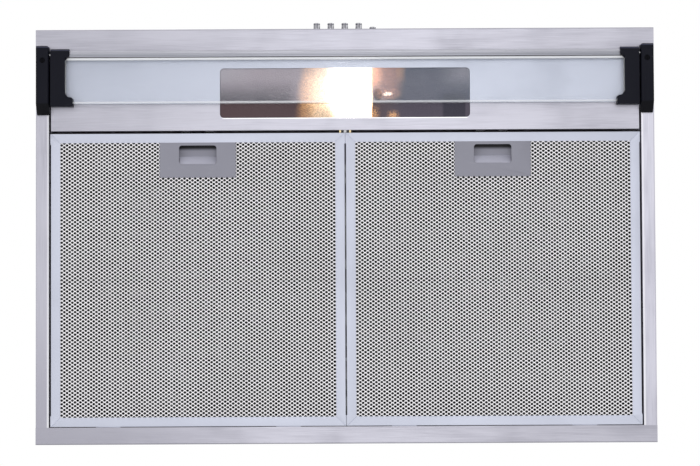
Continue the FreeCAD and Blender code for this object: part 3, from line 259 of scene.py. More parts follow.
def brushed_steel(name, along="x", tone=1.0, streaks=1.3, bright=None, pane_sheen=None):
    """Stainless steel with fine brush marks along one axis and smudges, with painted shade on the left rear
    corner and along the fold at the rear rim; bright(mix) gives where a painted highlight lies along an edge,
    and the pane mask where the pane's bluish sheen is painted on the sheet."""
    props = bpy.context.scene.hood_finishes
    mix = Recipe(name)
    rim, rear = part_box("rear_panel")[0].z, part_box("rear_panel")[1].y
    stretch = {"x": (1, 90, 90), "y": (90, 1, 90), "z": (90, 90, 1)}[along]
    fine = mix.noise(26, 3, stretch)
    coarse = mix.noise(7, 2, tuple(max(1, item / 8) for item in stretch))
    smudge = mix.noise(9, 4)
    cloud = mix.noise(2.2, 2)
    streak = (fine - 0.5) * 1.5 + (coarse - 0.5) * streaks + (smudge - 0.5) * 1.2 + 0.35
    shade = mix.blend(streak.smooth(0, 1), dim(props.steel, tone), dim(props.steel_dark, tone))
    base = mix.blend((cloud.smooth(0.35, 0.7)) * 0.35, shade, dim(props.steel, tone * 1.06))
    # Painted shade: the steel darkens towards the left rear corner.
    corner_shade = (mix.part("X") * -1).smooth(0.02, 0.36) * mix.part("Y").smooth(0.0, 0.25)
    base = mix.blend(corner_shade * 0.8, base, dim(props.steel_dark, tone * 0.98))
    # Painted reflection: the pane's bluish sheen painted on the steel it covers.
    if pane_sheen:
        base = mix.blend(pane_sheen(mix) * 0.8, base, tuple(props.steel_pane_sheen))
    # Painted highlight: near white along an edge that catches the light.
    if bright:
        base = mix.blend(bright(mix), base, (0.95, 0.95, 0.97))
    # Painted shade along the fold at the bottom of the rear rim.
    behind = mix.part("Y").smooth(rear - 1.6 * MM, rear - 0.5 * MM)
    painted_fold_shading = behind * (1 - mix.part("Z").smooth(rim, rim + 1.5 * MM))
    base = mix.blend(painted_fold_shading * 0.6, base, dim(props.steel_dark, 0.5))
    spots = mix.cells(160).smooth(0.02, 0.09)
    rough = 0.30 + fine * 0.16 + smudge.smooth(0.5, 0.75) * 0.10
    normal = mix.bump(fine * 0.7 + coarse * 0.3 + spots * 0.04, 0.00004)
    return mix.finish(Base_Color=base, Metallic=0.86, Roughness=rough, Normal=normal)


def plain_metal(name, value, rough=0.35, metallic=0.9):
    """Sheet or turned metal with fine grain and handling marks."""
    mix = Recipe(name)
    grit = mix.noise(300, 3)
    stain = mix.noise(14, 4)
    base = mix.blend(stain.smooth(0.35, 0.75) * 0.6, value, dim(value, 0.86))
    wear_and_sheen = rough + grit * 0.1 + stain.smooth(0.5, 0.8) * 0.12
    return mix.finish(Base_Color=base, Metallic=metallic, Roughness=wear_and_sheen, Normal=mix.bump(grit, 0.00003))


def filter_frame_metal(name):
    """Satin aluminium channel: drawn lines and small scratches."""
    value = tuple(bpy.context.scene.hood_finishes.aluminium)
    mix = Recipe(name)
    line = mix.noise(60, 2, (1, 20, 20))
    stain = mix.noise(12, 4)
    mark = mix.noise(240, 1, (1, 9, 1)).smooth(0.70, 0.76)
    base = mix.blend(stain.smooth(0.4, 0.8) * 0.5 + mark * 0.25, value, dim(value, 0.88))
    return mix.finish(Base_Color=base, Metallic=0.35, Roughness=0.38 + stain * 0.16,
                      Normal=mix.bump(line * 0.6 + mark * 0.4, 0.00004))


def mesh_metal(name):
    """Bright expanded aluminium with a little grease."""
    value = tuple(bpy.context.scene.hood_finishes.mesh)
    mix = Recipe(name)
    stain = mix.noise(9, 4)
    grit = mix.noise(420, 2)
    base = mix.blend(stain.smooth(0.35, 0.8) * 0.4, value, dim(value, 0.86))
    return mix.finish(Base_Color=base, Metallic=0.15, Roughness=0.34 + grit * 0.2,
                      Normal=mix.bump(grit, 0.00005))


def dark_weave(name):
    """Woven wire seen in shadow between the covers."""
    mix = Recipe(name)
    place = mix.object_place()
    wires = {"Vector": place, "Scale": 95.0, "Distortion": 1.5}
    across = mix.add("ShaderNodeTexWave", {"bands_direction": "X"}, wires)
    along = mix.add("ShaderNodeTexWave", {"bands_direction": "Y"}, wires)
    weave = across.math("MAXIMUM", along)
    blot = mix.noise(60, 3)
    light = weave.smooth(0.55, 1.0) * blot.smooth(0.45, 0.7)
    base = mix.blend(light, (0.006, 0.006, 0.008), (0.11, 0.11, 0.12))
    return mix.finish(Base_Color=base, Metallic=0.3, Roughness=0.5 + blot * 0.2,
                      Normal=mix.bump(weave, 0.0003))


def moulded(name, value, rough=0.42, grain=900, gloss=0.4, shade=None, glance=None):
    """Moulded plastic: fine spark texture, slight tone and dust, and rubbed streaks that are glossier and
    carry a painted sheen; shade(mix) gives where painted shade darkens the moulding and glance(mix) where a
    painted highlight lies on an edge that catches the light."""
    dust_and_sheen = 0.12
    mix = Recipe(name)
    grit = mix.noise(grain, 2)
    tone = mix.noise(18, 3)
    rub = mix.noise(70, 2, (1, 3, 1)).smooth(0.60, 0.72)
    lighter = tuple(min(1, item * 1.25 + 0.006) for item in value)
    # Lighter colour: random tone and dust are real; the rubbed streaks add a painted sheen.
    base = mix.blend(tone * dust_and_sheen * 2 + rub * dust_and_sheen, value, lighter)
    # Painted highlight where an edge catches the light.
    if glance:
        base = mix.blend(glance(mix), base, (0.055, 0.058, 0.095))
    # Painted shade where the moulding lies in shade.
    if shade:
        base = mix.blend(shade(mix), base, dim(value, 0.12))
    return mix.finish(Base_Color=base, Roughness=rough + grit * 0.14 - rub * 0.08, Specular_IOR_Level=gloss,
                      Normal=mix.bump(grit, 0.00006))


def chrome(name, node):
    """Plated button: painted reflections give dark sides and upright bright lines; fine turning marks and
    fingermarks.
    """
    low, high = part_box(node)
    mix = Recipe(name)
    across = (mix.part("X") - (low.x + high.x) / 2) / (high.x - low.x)
    ring = mix.noise(900, 1, (1, 6, 1))
    mark = mix.noise(130, 3).smooth(0.45, 0.7)
    lines = mix.add("ShaderNodeTexNoise", None, {"Vector": mix.add("ShaderNodeCombineXYZ", None, {0: across}),
                                                 "Scale": 4.6, "Detail": 2.0})
    # Painted reflections: the sides darken towards the edges and noise across the button gives upright dark
    # and bright lines.
    dark = across.math("ABSOLUTE").smooth(0.36, 0.47) * 0.6 + (1 - lines.smooth(0.40, 0.56)) * 0.85
    bright = mix.blend(mark * 0.5, (0.66, 0.66, 0.70), (0.52, 0.52, 0.56))
    base = mix.blend(dark.math("MINIMUM", 1), bright, (0.035, 0.035, 0.050))
    return mix.finish(Base_Color=base, Metallic=0.75, Roughness=0.2 + mark * 0.12,
                      Normal=mix.bump(ring, 0.00001))


def pane_glass(name):
    """Clear glass, nearly all see-through: faint haze and wiping marks, a painted shadow along the trim bar,
    painted shade along the rear edge, and painted highlights on the ground edges that catch the light."""
    props = bpy.context.scene.hood_finishes
    _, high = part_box("visor_glass")
    _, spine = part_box("visor_spine")
    mix = Recipe(name)
    across = mix.part("X").math("ABSOLUTE")
    along = mix.part("Y")
    haze = mix.noise(10, 4)
    wipe = mix.noise(30, 3, (1, 7, 1)).smooth(0.55, 0.75)
    # Painted shadow just behind the trim bar, and further down painted shade along the pane's rear edge.
    spine_shadow = 1 - along.smooth(spine.y + 0.4 * MM, spine.y + 1.0 * MM)
    # Painted highlights on the front, rear and side edges of the pane.
    front = along.band(spine.y + 0.8 * MM, spine.y + 1.2 * MM, spine.y + 2.8 * MM, spine.y + 4.2 * MM)
    rear = along.band(high.y - 4.2 * MM, high.y - 3.2 * MM, high.y - 1.7 * MM, high.y - 0.9 * MM)
    rear_edge_shade = along.smooth(high.y - 0.9 * MM, high.y - 0.5 * MM)
    arm_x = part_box("right_hinge_block")[0].x - 19 * MM
    side = across.smooth(arm_x - 1.6 * MM, arm_x - 0.9 * MM)
    bright = (front * 0.75 + rear * 0.27 + side * 0.35).math("MINIMUM", 0.8)
    dark = (spine_shadow * 0.75 + rear_edge_shade * 0.35).math("MINIMUM", 0.8)
    alpha = 0.045 + haze * 0.02 + wipe * 0.015 + bright + dark
    tint = mix.blend(wipe * 0.3, tuple(props.pane), (0.86, 0.9, 0.95))
    lit = mix.blend(bright.smooth(0.05, 0.3), tint, (0.95, 0.97, 1.0))
    base = mix.blend(dark.smooth(0.05, 0.3), lit, (0.16, 0.15, 0.16))
    return mix.finish(Base_Color=base, Roughness=0.06 + wipe * 0.10, Alpha=alpha.math("MINIMUM", 1.0),
                      Specular_IOR_Level=0.6)


def lamp_lens(name):
    """Pebbled lens lit from behind. The glow is painted light, emitted by the lens: the lamp's light spread
    over the pebbles, a white core that ends sharply at the socket, a warm grainy halo to its left, a tan
    patch to its right and a painted glint off the socket. The base colour is painted light and shade of the
    lamp's inside seen through it."""
    lamp = bpy.context.scene.hood_lamp
    low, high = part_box("lens")
    socket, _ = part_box("lamp_socket")
    mix = Recipe(name)
    deep = high.y - low.y - 2 * LENS_BRIM
    x = mix.part("X")
    y = (mix.part("Y") - (low.y + LENS_BRIM)) / deep
    pebble = mix.cells(900)
    grain = mix.noise(1100, 2)
    drift = mix.noise(34, 4)
    slow = mix.noise(14, 3)
    wobble = (drift - 0.5) * 0.030
    speck = grain.smooth(0.40, 0.60)
    top, foot = 1 - y.smooth(0.0, 0.35), y.smooth(0.68, 1.0)
    start = socket.x - 0.0590 + top * 0.004 + foot * 0.009
    right = 1 - (x + wobble * 0.10).smooth(socket.x - 0.0035, socket.x + 0.0015)
    core = (x - start + wobble * 0.6).smooth(-0.014, 0.020) ** 3 * right
    rim = socket.x - 0.0890 + top * 0.003 - foot * 0.004 + wobble * 0.4
    halo = (x - rim).smooth(-0.004, 0.007) * right * (1 - top * 0.35) * (1 - foot * 0.45)
    glow = (x - rim).smooth(0.0, 0.034)
    halo = halo * (0.30 + glow * 1.1) * (0.50 + speck * 0.7 - glow * speck * 0.3)
    past = (x - socket.x + wobble * 0.2) / 0.040
    tan = (1 - past.smooth(0.55, 1.05)) * (1 - right) * (1 - y.smooth(0.25, 0.75) * 0.95)
    tan = tan * (0.40 + speck * 0.6)
    warm_edge = (1 - past.smooth(0.0, 0.42)) * (1 - right) * (1 - y.smooth(0.20, 0.50)) * (0.6 + speck * 0.4)
    ember = (1 - ((x - socket.x - 0.036 + wobble * 0.6) / 0.009) ** 2).math("MAXIMUM", 0)
    ember = ember * (1 - y.smooth(0.10, 0.38))
    spill_far = 1 - ((x - socket.x - 0.026) / 0.010).math("ABSOLUTE").smooth(0.0, 1.0)
    spill_far = spill_far * y.smooth(0.82, 1.0) * speck
    spill_near = (1 - (x - socket.x).smooth(0.001, 0.012)) * y.smooth(0.72, 0.95) * (1 - right) * speck
    # Painted shade: a dark patch just right of the socket.
    nook_shade = ((x - socket.x - 0.007 + wobble * 0.1) / 0.006) ** 2 + ((y - 0.55) / 0.14) ** 2
    glint_x = ((x - socket.x - 0.0195 + wobble * 0.25) / 0.0085) ** 2
    glint_y = ((y - 0.535 + wobble * 1.4) / 0.055) ** 2
    glint = (1 - (glint_x + glint_y).smooth(0.2, 1.0)) * (0.5 + speck * 0.5)
    sparks = (1 - (glint_x * 0.2 + glint_y * 0.12).smooth(0.1, 1.0)) * (1 - right) * speck ** 2
    # The base colour is painted light and shade of the lamp's inside seen through the lens: lighter above and
    # darker below, a dark patch at the right end, lighter top corners, a darker lower left and white glints
    # on the left.
    side = x.smooth(0.0, 0.07)
    lower = y.smooth(0.66, 0.70)
    left_tone = mix.blend(lower, (0.390, 0.330, 0.365), (0.094, 0.060, 0.066))
    right_tone = mix.blend(lower, (0.052, 0.052, 0.086), (0.092, 0.080, 0.108))
    dark_end = x.band(0.118, 0.122, 0.1465, 0.1485) * y.smooth(0.45, 0.60)
    tone = mix.blend(side, left_tone, right_tone)
    tone = mix.blend(dark_end * 0.7, tone, (0.026, 0.026, 0.042))
    corner = x.math("ABSOLUTE").smooth(0.105, 0.150) * (1 - y.smooth(0.10, 0.55)) * (0.6 + speck * 0.4)
    dusk_shade = (1 - x.smooth(-0.075, -0.050)) * y.smooth(0.10, 0.72) * (1 - lower) * (0.75 + drift * 0.5)
    fleck_glints = mix.noise(1500, 1).smooth(0.66, 0.74) * x.band(-0.150, -0.085, -0.06, -0.04)
    cloud = slow.smooth(0.3, 0.7) * 0.10 + pebble.smooth(0.1, 0.6) * 0.05 + corner * 0.45
    base = mix.blend(cloud * (1 - lower * 0.9), tone, (0.44, 0.42, 0.46))
    base = mix.blend(dusk_shade * 0.95, base, (0.085, 0.068, 0.080))
    base = mix.blend(fleck_glints * (1 - lower) * 0.6, base, (0.60, 0.55, 0.55))
    base = mix.blend(1 - nook_shade.smooth(0.4, 1.2), base, (0.045, 0.042, 0.055))
    # Emission: painted light of the lamp spread in the lens, with a painted glint off the socket.
    halo = halo + spill_far * 0.7 + spill_near * 0.6
    strength = core * lamp.strength * 2 + halo * 1.25 + tan * 0.40 + warm_edge * 1.1
    strength = strength + ember * 0.16 + sparks * 0.35 + glint * 1.1
    warmth = mix.blend(tan.smooth(0.02, 0.3) * (1 - ember * 0.6), tuple(lamp.warm), (0.95, 0.42, 0.22))
    warmth = mix.blend(glow * right * 0.85, warmth, (1.0, 0.80, 0.56))
    shine = mix.blend((core + glint).math("MINIMUM", 1), warmth, tuple(lamp.core))
    light = mix.add("ShaderNodeVectorMath", {"operation": "SCALE"}, {0: shine, "Scale": strength})
    return mix.finish(Base_Color=base, Roughness=0.32 + grain * 0.2, Specular_IOR_Level=0.15,
                      Emission_Color=light, Emission_Strength=1.0, Normal=mix.bump(pebble, 0.0003))


def lit_glass(name):
    """The lamp's own glass, glowing."""
    lamp = bpy.context.scene.hood_lamp
    mix = Recipe(name)
    cloud = mix.noise(60, 2)
    light = mix.blend(cloud * 0.4, tuple(lamp.core), tuple(lamp.warm))
    glass = mix.blend(cloud, (0.9, 0.88, 0.84), (0.8, 0.76, 0.7))
    return mix.finish(Base_Color=glass, Roughness=0.35 + cloud * 0.1,
                      Emission_Color=light, Emission_Strength=6.0)


def zinc_sheet(name):
    """Galvanised sheet with its frosty spangle."""
    value = tuple(bpy.context.scene.hood_finishes.zinc)
    mix = Recipe(name)
    spangle = mix.cells(90, "Color")
    tone = mix.add("ShaderNodeSeparateColor", None, {0: spangle})
    fine = mix.noise(200, 3)
    base = mix.blend(tone * 0.6 + fine * 0.3, value, dim(value, 0.7))
    return mix.finish(Base_Color=base, Metallic=0.75, Roughness=0.3 + tone * 0.2,
                      Normal=mix.bump(fine, 0.00004))


# ---- meshes

def new_piece(name, body, points, quads, material, replaced, slot):
    """An object at the origin from arrays of points and four sided faces, riding on a body."""
    mesh = bpy.data.meshes.new(name)
    mesh.vertices.add(len(points))
    mesh.vertices.foreach_set("co", np.asarray(points, np.float32).ravel())
    mesh.loops.add(4 * len(quads))
    mesh.loops.foreach_set("vertex_index", np.asarray(quads, np.int32).ravel())
    mesh.polygons.add(len(quads))
    mesh.polygons.foreach_set("loop_start", np.arange(0, 4 * len(quads), 4, dtype=np.int32))
    mesh.update(calc_edges=True)
    mesh.validate()
    return settle(name, body, mesh, material, replaced)


def settle(name, body, mesh, material, replaced):
    """Link a mesh as a smooth object, with its material, body and the CAD nodes it stands for."""
    mesh.polygons.foreach_set("use_smooth", np.full(len(mesh.polygons), True))
    mesh.materials.clear()
    mesh.materials.append(material)
    piece = bpy.data.objects.new(name, mesh)
    bpy.context.scene.collection.objects.link(piece)
    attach(piece, body)
    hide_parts(*replaced)
    return piece


def welded(mesh, dissolve):
    """Merge doubles in a mesh, then dissolve its flat stretches into whole faces or turn its faces out."""
    work = bmesh.new()
    work.from_mesh(mesh)
    bmesh.ops.remove_doubles(work, verts=work.verts, dist=DOUBLE)
    if dissolve:
        bmesh.ops.dissolve_limit(work, angle_limit=math.radians(FLAT), verts=work.verts, edges=work.edges)
    else:
        bmesh.ops.recalc_face_normals(work, faces=work.faces)
    work.to_mesh(mesh)
    work.free()


def eased(node, material, width, segments=2):
    """A copy of a CAD node with its sharp edges eased by a bevel; it stands for the node."""
    source = frame["nodes"][node]
    mesh = source.data.copy()
    welded(mesh, dissolve=True)
    piece = settle(f"{node}_eased", source["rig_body"], mesh, material, (node,))
    bevel = piece.modifiers.new("edge", "BEVEL")
    bevel.width = width
    bevel.segments = segments
    bevel.limit_method = "ANGLE"
    bevel.angle_limit = math.radians(SHARP)
    bevel.harden_normals = True
    return piece


def coat(material, *nodes):
    """Give CAD nodes a material."""
    for node in nodes:
        data = frame["nodes"][node].data
        data.materials.clear()
        data.materials.append(material)


def grid_quads(rows, columns, wrap=False):
    """Faces of a grid of rows by columns of points; wrap joins the last column to the first."""
    last = columns if wrap else columns - 1
    row, column = np.meshgrid(np.arange(rows - 1), np.arange(last), indexing="ij")
    following = (column + 1) % columns
    return np.stack([row * columns + column, row * columns + following,
                     (row + 1) * columns + following, (row + 1) * columns + column], -1).reshape(-1, 4)


def turned(name, body, centre, axis, along, radii, material, steps=48, ripple=None, **rest):
    """A profile turned about an axis: each point lies at its radius from the axis, at its place along it,
    at an angle that runs once round; ripple(angle, along) may add to the radius."""
    angle = np.linspace(0, TURN, steps, endpoint=False)
    along, angle = np.meshgrid(np.asarray(along, float), angle, indexing="ij")
    radius = np.repeat(np.asarray(radii, float)[:, None], steps, 1)
    if ripple is not None:
        radius = radius + np.where(radius > 0, ripple(angle, along), 0)
    first, second = radius * np.cos(angle), radius * np.sin(angle)
    order = {"x": (along, first, second), "y": (second, along, first), "z": (first, second, along)}[axis]
    points = np.stack(order, -1).reshape(-1, 3) + np.array(centre)
    piece = new_piece(name, body, points, grid_quads(*along.shape, wrap=True), material, **rest)
    welded(piece.data, dissolve=False)
    return piece


# ---- filters

def lattice_cells(low, high, props, hole, rear):
    """Centres of the staggered holes of one half of a cover, clear of the latch opening."""
    pitch = np.array((props.pitch_wide, props.pitch_deep))
    count = np.floor((np.array(high) - np.array(low)) / pitch).astype(int)
    start = (np.array(low) + np.array(high) - count * pitch) / 2
    grid = np.stack(np.meshgrid(np.arange(count[0]), np.arange(count[1]), indexing="ij"), -1).reshape(-1, 2)
    centres = np.concatenate([start + (grid + 0.5) * pitch, (start + (grid + 1.0) * pitch)])
    inside = np.all(centres < np.array(high) - pitch / 2, axis=1)
    away = np.any(np.abs(centres - hole[:2]) > np.array(hole[2:]) + pitch * 0.4, axis=1)
    half = (centres[:, 1] > (low[1] + high[1]) / 2) == rear
    return centres[inside & away & half]


def mesh_cover(name, body, low, high, hole, outward, rear, material, **rest):
    """Half of an expanded mesh: round each hole of six sides lies a ring of six faces out to the six sided
    cell that it shares with its neighbours; the crossings between holes of a row stand out by the bond
    height, and a second level above closes the sheet."""
    props = bpy.context.scene.hood_filter
    wide, deep = props.pitch_wide, props.pitch_deep
    same = 1e-5
    centres = lattice_cells(low[:2], high[:2], props, hole, rear)
    corner = (wide ** 2 - deep ** 2) / (4 * wide)
    tip = (wide ** 2 + deep ** 2) / (4 * wide)
    cell = np.array([(tip, 0), (corner, deep / 2), (-corner, deep / 2), (-tip, 0), (-corner, -deep / 2),
                     (corner, -deep / 2)])
    across, along = props.hole_wide / 2, props.hole_deep / 2
    opening = np.array([(across, 0), (across * 0.42, along), (-across * 0.42, along), (-across, 0),
                        (-across * 0.42, -along), (across * 0.42, -along)])
    corners = (centres[:, None] + cell).reshape(-1, 2)
    keys = np.round(corners / same).astype(np.int64)
    _, first, inverse = np.unique(keys, axis=0, return_index=True, return_inverse=True)
    shared = corners[first]
    outer = inverse.reshape(-1, 6)
    holes = (centres[:, None] + opening).reshape(-1, 2)
    inner = len(shared) + np.arange(len(holes)).reshape(-1, 6)
    flat = np.concatenate([shared, holes])
    level = len(flat)
    edge = min(props.bond, (high[2] - low[2]) / 3)
    bottom = np.full(level, low[2] + (edge if outward < 0 else 0))
    top = np.full(level, high[2] - (edge if outward > 0 else 0))
    if outward < 0:
        bottom[:len(shared)] = low[2]
    else:
        top[:len(shared)] = high[2]
    points = np.concatenate([np.column_stack([flat, bottom]), np.column_stack([flat, top])])
    ring = np.roll(np.arange(6), -1)
    under = np.stack([inner, inner[:, ring], outer[:, ring], outer], -1).reshape(-1, 4)
    over = np.stack([outer, outer[:, ring], inner[:, ring], inner], -1).reshape(-1, 4) + level
    wall = np.stack([inner, inner + level, inner[:, ring] + level, inner[:, ring]], -1).reshape(-1, 4)
    sides = np.stack([outer, outer[:, ring]], -1).reshape(-1, 2)
    ordered = np.sort(sides, axis=1)
    _, place, count = np.unique(ordered, axis=0, return_index=True, return_counts=True)
    rim = sides[place[count == 1]]
    edge_faces = np.stack([rim[:, 0], rim[:, 1], rim[:, 1] + level, rim[:, 0] + level], -1)
    quads = np.concatenate([under, over, wall, edge_faces])
    return new_piece(name, body, points, quads, material, **rest)


def waved_layer(name, body, low, high, hole, material, **rest):
    """Waved woven layer: height is the middle plus a sine of the way across, as two sheets half a millimetre
    apart closed round the edge; it is left out where the latch case stands."""
    props = bpy.context.scene.hood_filter
    thick = 0.5 * MM
    step = 0.8 * MM
    front = hole[1] + hole[3]
    blocks = ((low[0], high[0], front, high[1]), (low[0], hole[0] - hole[2], low[1], front),
              (hole[0] + hole[2], high[0], low[1], front))
    middle = (low[2] + high[2]) / 2
    swing = (high[2] - low[2] - thick) / 2
    points, quads = [], []
    for left, right, start, end in blocks:
        steps = int((right - left) / step)
        rows = np.linspace(left, right, steps)
        across, along = np.meshgrid(rows, np.linspace(start, end, 5), indexing="ij")
        height = middle + swing * np.sin(TURN * (across - low[0]) / props.wave)
        lower = np.stack([across, along, height - thick / 2], -1)
        upper = np.stack([across, along, height + thick / 2], -1)
        loop = np.concatenate([lower, upper[:, ::-1]], 1)
        base = sum(len(item) for item in points)
        points.append(loop.reshape(-1, 3))
        faces = grid_quads(*loop.shape[:2], wrap=True)
        columns = loop.shape[1]
        index = np.arange(columns // 2 - 1)
        cap = np.stack([index, index + 1, columns - 2 - index, columns - 1 - index], -1)
        far = cap + (loop.shape[0] - 1) * columns
        quads.append(np.concatenate([faces, cap[:, ::-1], far]) + base)
    piece = new_piece(name, body, np.concatenate(points), np.concatenate(quads), material, **rest)
    welded(piece.data, dissolve=False)
    return piece


# ---- operators, one for each group of pieces

class HOOD_OT_shell(bpy.types.Operator):
    """Brushed steel shell"""
    bl_idname = "hood.shell"
    bl_label = "Shell"

    def execute(self, context):
        coat(brushed_steel("steel_across"), "top_panel", "front_panel", "rear_panel")
        coat(brushed_steel("steel_panel", streaks=0.7, bright=self.lens_rim_highlight, pane_sheen=self.behind_pane),
             "light_panel")
        # Painted light: the right side panel is painted much lighter and the left a little lighter, as light
        # falls on them.
        coat(brushed_steel("steel_left", "y", 1.03, bright=self.hem_highlight), "left_side_panel")
        coat(brushed_steel("steel_right", "y", 1.2, bright=self.hem_highlight), "right_side_panel")
        coat(plain_metal("zinc_rivet", (0.55, 0.55, 0.56)), "shell_rivets")
        coat(self.clip_metal(), "centre_clip")
        return {"FINISHED"}

    def lens_rim_highlight(self, mix):
        """Painted highlight along the rear edge of the lens opening."""
        _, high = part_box("lens")
        end, rear = high.x - LENS_BRIM, high.y - LENS_BRIM
        ends = 1 - mix.part("X").math("ABSOLUTE").smooth(end - 5 * MM, end - 1 * MM)
        return mix.part("Y").band(rear - 0.6 * MM, rear, rear + 0.7 * MM, rear + 2 * MM) * ends

    def behind_pane(self, mix):
        """Where the pane of the visor covers the panel; there the pane's bluish sheen is painted on the
        steel.
        """
        _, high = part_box("visor_glass")
        return 1 - mix.part("Y").smooth(high.y - 1.5 * MM, high.y)

    def hem_highlight(self, mix):
        """Painted highlight along the doubled inner edge of a side rim."""
        low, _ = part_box("right_side_panel")
        inner = low.x + 2.2 * MM
        edge = 1 - mix.part("X").math("ABSOLUTE").smooth(inner, inner + 0.6 * MM)
        return edge * (0.35 + mix.part("Y").smooth(0, 0.2) * 0.2)

    def clip_metal(self):
        """Black clip with painted warm glints at its ends and a painted highlight on one fold."""
        low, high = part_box("centre_clip")
        mix = Recipe("clip_black_painted_glints")
        x = mix.part("X") - (low.x + high.x) / 2
        # Painted light: warm glints of the lamp at the ends and a highlight in the middle.
        ends = x.math("ABSOLUTE").smooth(4.6 * MM, 5.6 * MM)
        painted_fold_shading = 1 - x.math("ABSOLUTE").smooth(1.0 * MM, 2.2 * MM)
        grit = mix.noise(400, 3)
        black = mix.blend(grit * 0.3, (0.008, 0.008, 0.009), (0.03, 0.03, 0.03))
        wear_and_sheen = mix.blend(painted_fold_shading * 0.7, black, (0.75, 0.75, 0.76))
        base = mix.blend(ends, wear_and_sheen, (0.92, 0.74, 0.42))
        return mix.finish(Base_Color=base, Metallic=0.3, Roughness=0.3 + grit * 0.2,
                          Normal=mix.bump(grit, 0.00003))


class HOOD_OT_lamp(bpy.types.Operator):
    """Lens, reflector, socket and lit lamp"""
    bl_idname = "hood.lamp"
    bl_label = "Lamp"

    def execute(self, context):
        eased("lens", lamp_lens("lens_pebbled"), 0.4 * MM)
        coat(moulded("reflector_enamel", (0.78, 0.78, 0.76), 0.2, 300), "lamp_housing")
        coat(moulded("porcelain", (0.82, 0.80, 0.76), 0.12, 200), "lamp_socket")
        coat(plain_metal("clamp_steel", (0.5, 0.5, 0.52)), "socket_clamp")
        self.bulb()
        self.cap()
        return {"FINISHED"}

    def bulb(self):
        """Lamp glass: a ball whose radius follows a circle, easing into the neck by a cosine."""
        low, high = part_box("lamp_bulb")
        radius = (high.z - low.z) / 2
        cap_low, cap_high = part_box("lamp_cap")
        neck = (cap_high.z - cap_low.z) / 2
        reach = np.linspace(0, 1, 40)
        along = low.x + (high.x - low.x) * reach
        ball = np.sqrt(np.clip(radius ** 2 - (along - low.x - radius) ** 2, 0, None))
        fade = (along - low.x - radius) / (high.x - low.x - radius)
        taper = neck + (radius - neck) * (0.5 + 0.5 * np.cos(np.pi * np.clip(fade, 0, 1)))
        profile = np.where(along < low.x + radius, ball, taper)
        centre = (0, (low.y + high.y) / 2, (low.z + high.z) / 2)
        turned("lamp_glass", "hood", centre, "x", np.append(along, high.x), np.append(profile, 0),
               lit_glass("lamp_glow"), replaced=("lamp_bulb",), slot="bulb_glass")

    def cap(self):
        """Lamp cap: a sine of the way along less the angle, added to the radius, makes the thread."""
        low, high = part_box("lamp_cap")
        radius = (high.z - low.z) / 2
        along = np.linspace(low.x, high.x, 90)
        depth = 0.7 * MM
        pitch = 3.6 * MM
        profile = np.full(len(along), radius - depth)
        centre = (0, (low.y + high.y) / 2, (low.z + high.z) / 2)

        def thread(angle, place):
            return depth * np.sin(TURN * place / pitch - angle)

        brass = plain_metal("cap_brass", (0.72, 0.56, 0.28), 0.25)
        turned("lamp_thread", "hood", centre, "x", [low.x, *along, high.x], [0, *profile, 0], brass,
               ripple=thread, replaced=("lamp_cap",), slot="brass")


class HOOD_OT_visor(bpy.types.Operator):
    """Glass visor with its trim bar, brackets and hinge blocks"""
    bl_idname = "hood.visor"
    bl_label = "Visor"

    def execute(self, context):
        props = context.scene.hood_finishes
        black = moulded("black_moulded", tuple(props.black), 0.44, gloss=0.11,
                        glance=self.front_edge_highlight("right_visor_bracket"))
        block = moulded("block_moulded", tuple(props.black), 0.44, gloss=0.11, shade=self.toe,
                        glance=self.front_edge_highlight("right_hinge_block"))
        for side in SIDES:
            eased(f"{side}_hinge_block", block, 0.8 * MM, 3)
            eased(f"{side}_visor_bracket", black, 0.7 * MM, 3)
        eased("visor_spine", self.trim_metal(), 0.15 * MM)
        eased("visor_glass", pane_glass("pane_clear"), 0.25 * MM)
        coat(plain_metal("pin_steel", (0.6, 0.6, 0.62), 0.2), "visor_pins")
        coat(moulded("screw_black", (0.004, 0.004, 0.006), 0.7, gloss=0.05), "hinge_block_screws")
        return {"FINISHED"}

    def front_edge_highlight(self, node):
        """Painted highlight on the rounded front edge of a moulding."""
        low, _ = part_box(node)

        def glance(mix):
            y = mix.part("Y") - low.y
            return y.band(0.7 * MM, 1.5 * MM, 1.9 * MM, 3.0 * MM) * 0.8

        return glance

    def toe(self, mix):
        """The bevelled rear end of a hinge block, in shade."""
        _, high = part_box("right_hinge_block")
        return mix.part("Y").smooth(high.y - 14.5 * MM, high.y - 12 * MM) * 0.75

    def trim_metal(self):
        """Drawn aluminium of the trim bar, with painted light: brightest on its front edge and darker towards
        the rear.
        """
        low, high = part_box("visor_spine")
        mix = Recipe("trim_drawn")
        back = (mix.part("Y") - low.y) / (high.y - low.y)
        drawn = mix.noise(22, 3, (1, 60, 60))
        mark = mix.noise(90, 2, (1, 4, 4)).smooth(0.62, 0.72)
        # Painted light: bright at the front edge, darker towards the rear.
        tone = mix.blend(back.smooth(0.0, 0.9), (0.60, 0.60, 0.66), (0.37, 0.38, 0.43))
        base = mix.blend(drawn.smooth(0.4, 0.8) * 0.35 + mark * 0.2, tone, (0.30, 0.30, 0.34))
        return mix.finish(Base_Color=base, Metallic=0.8, Roughness=0.3 + drawn * 0.14,
                          Normal=mix.bump(drawn, 0.00004))


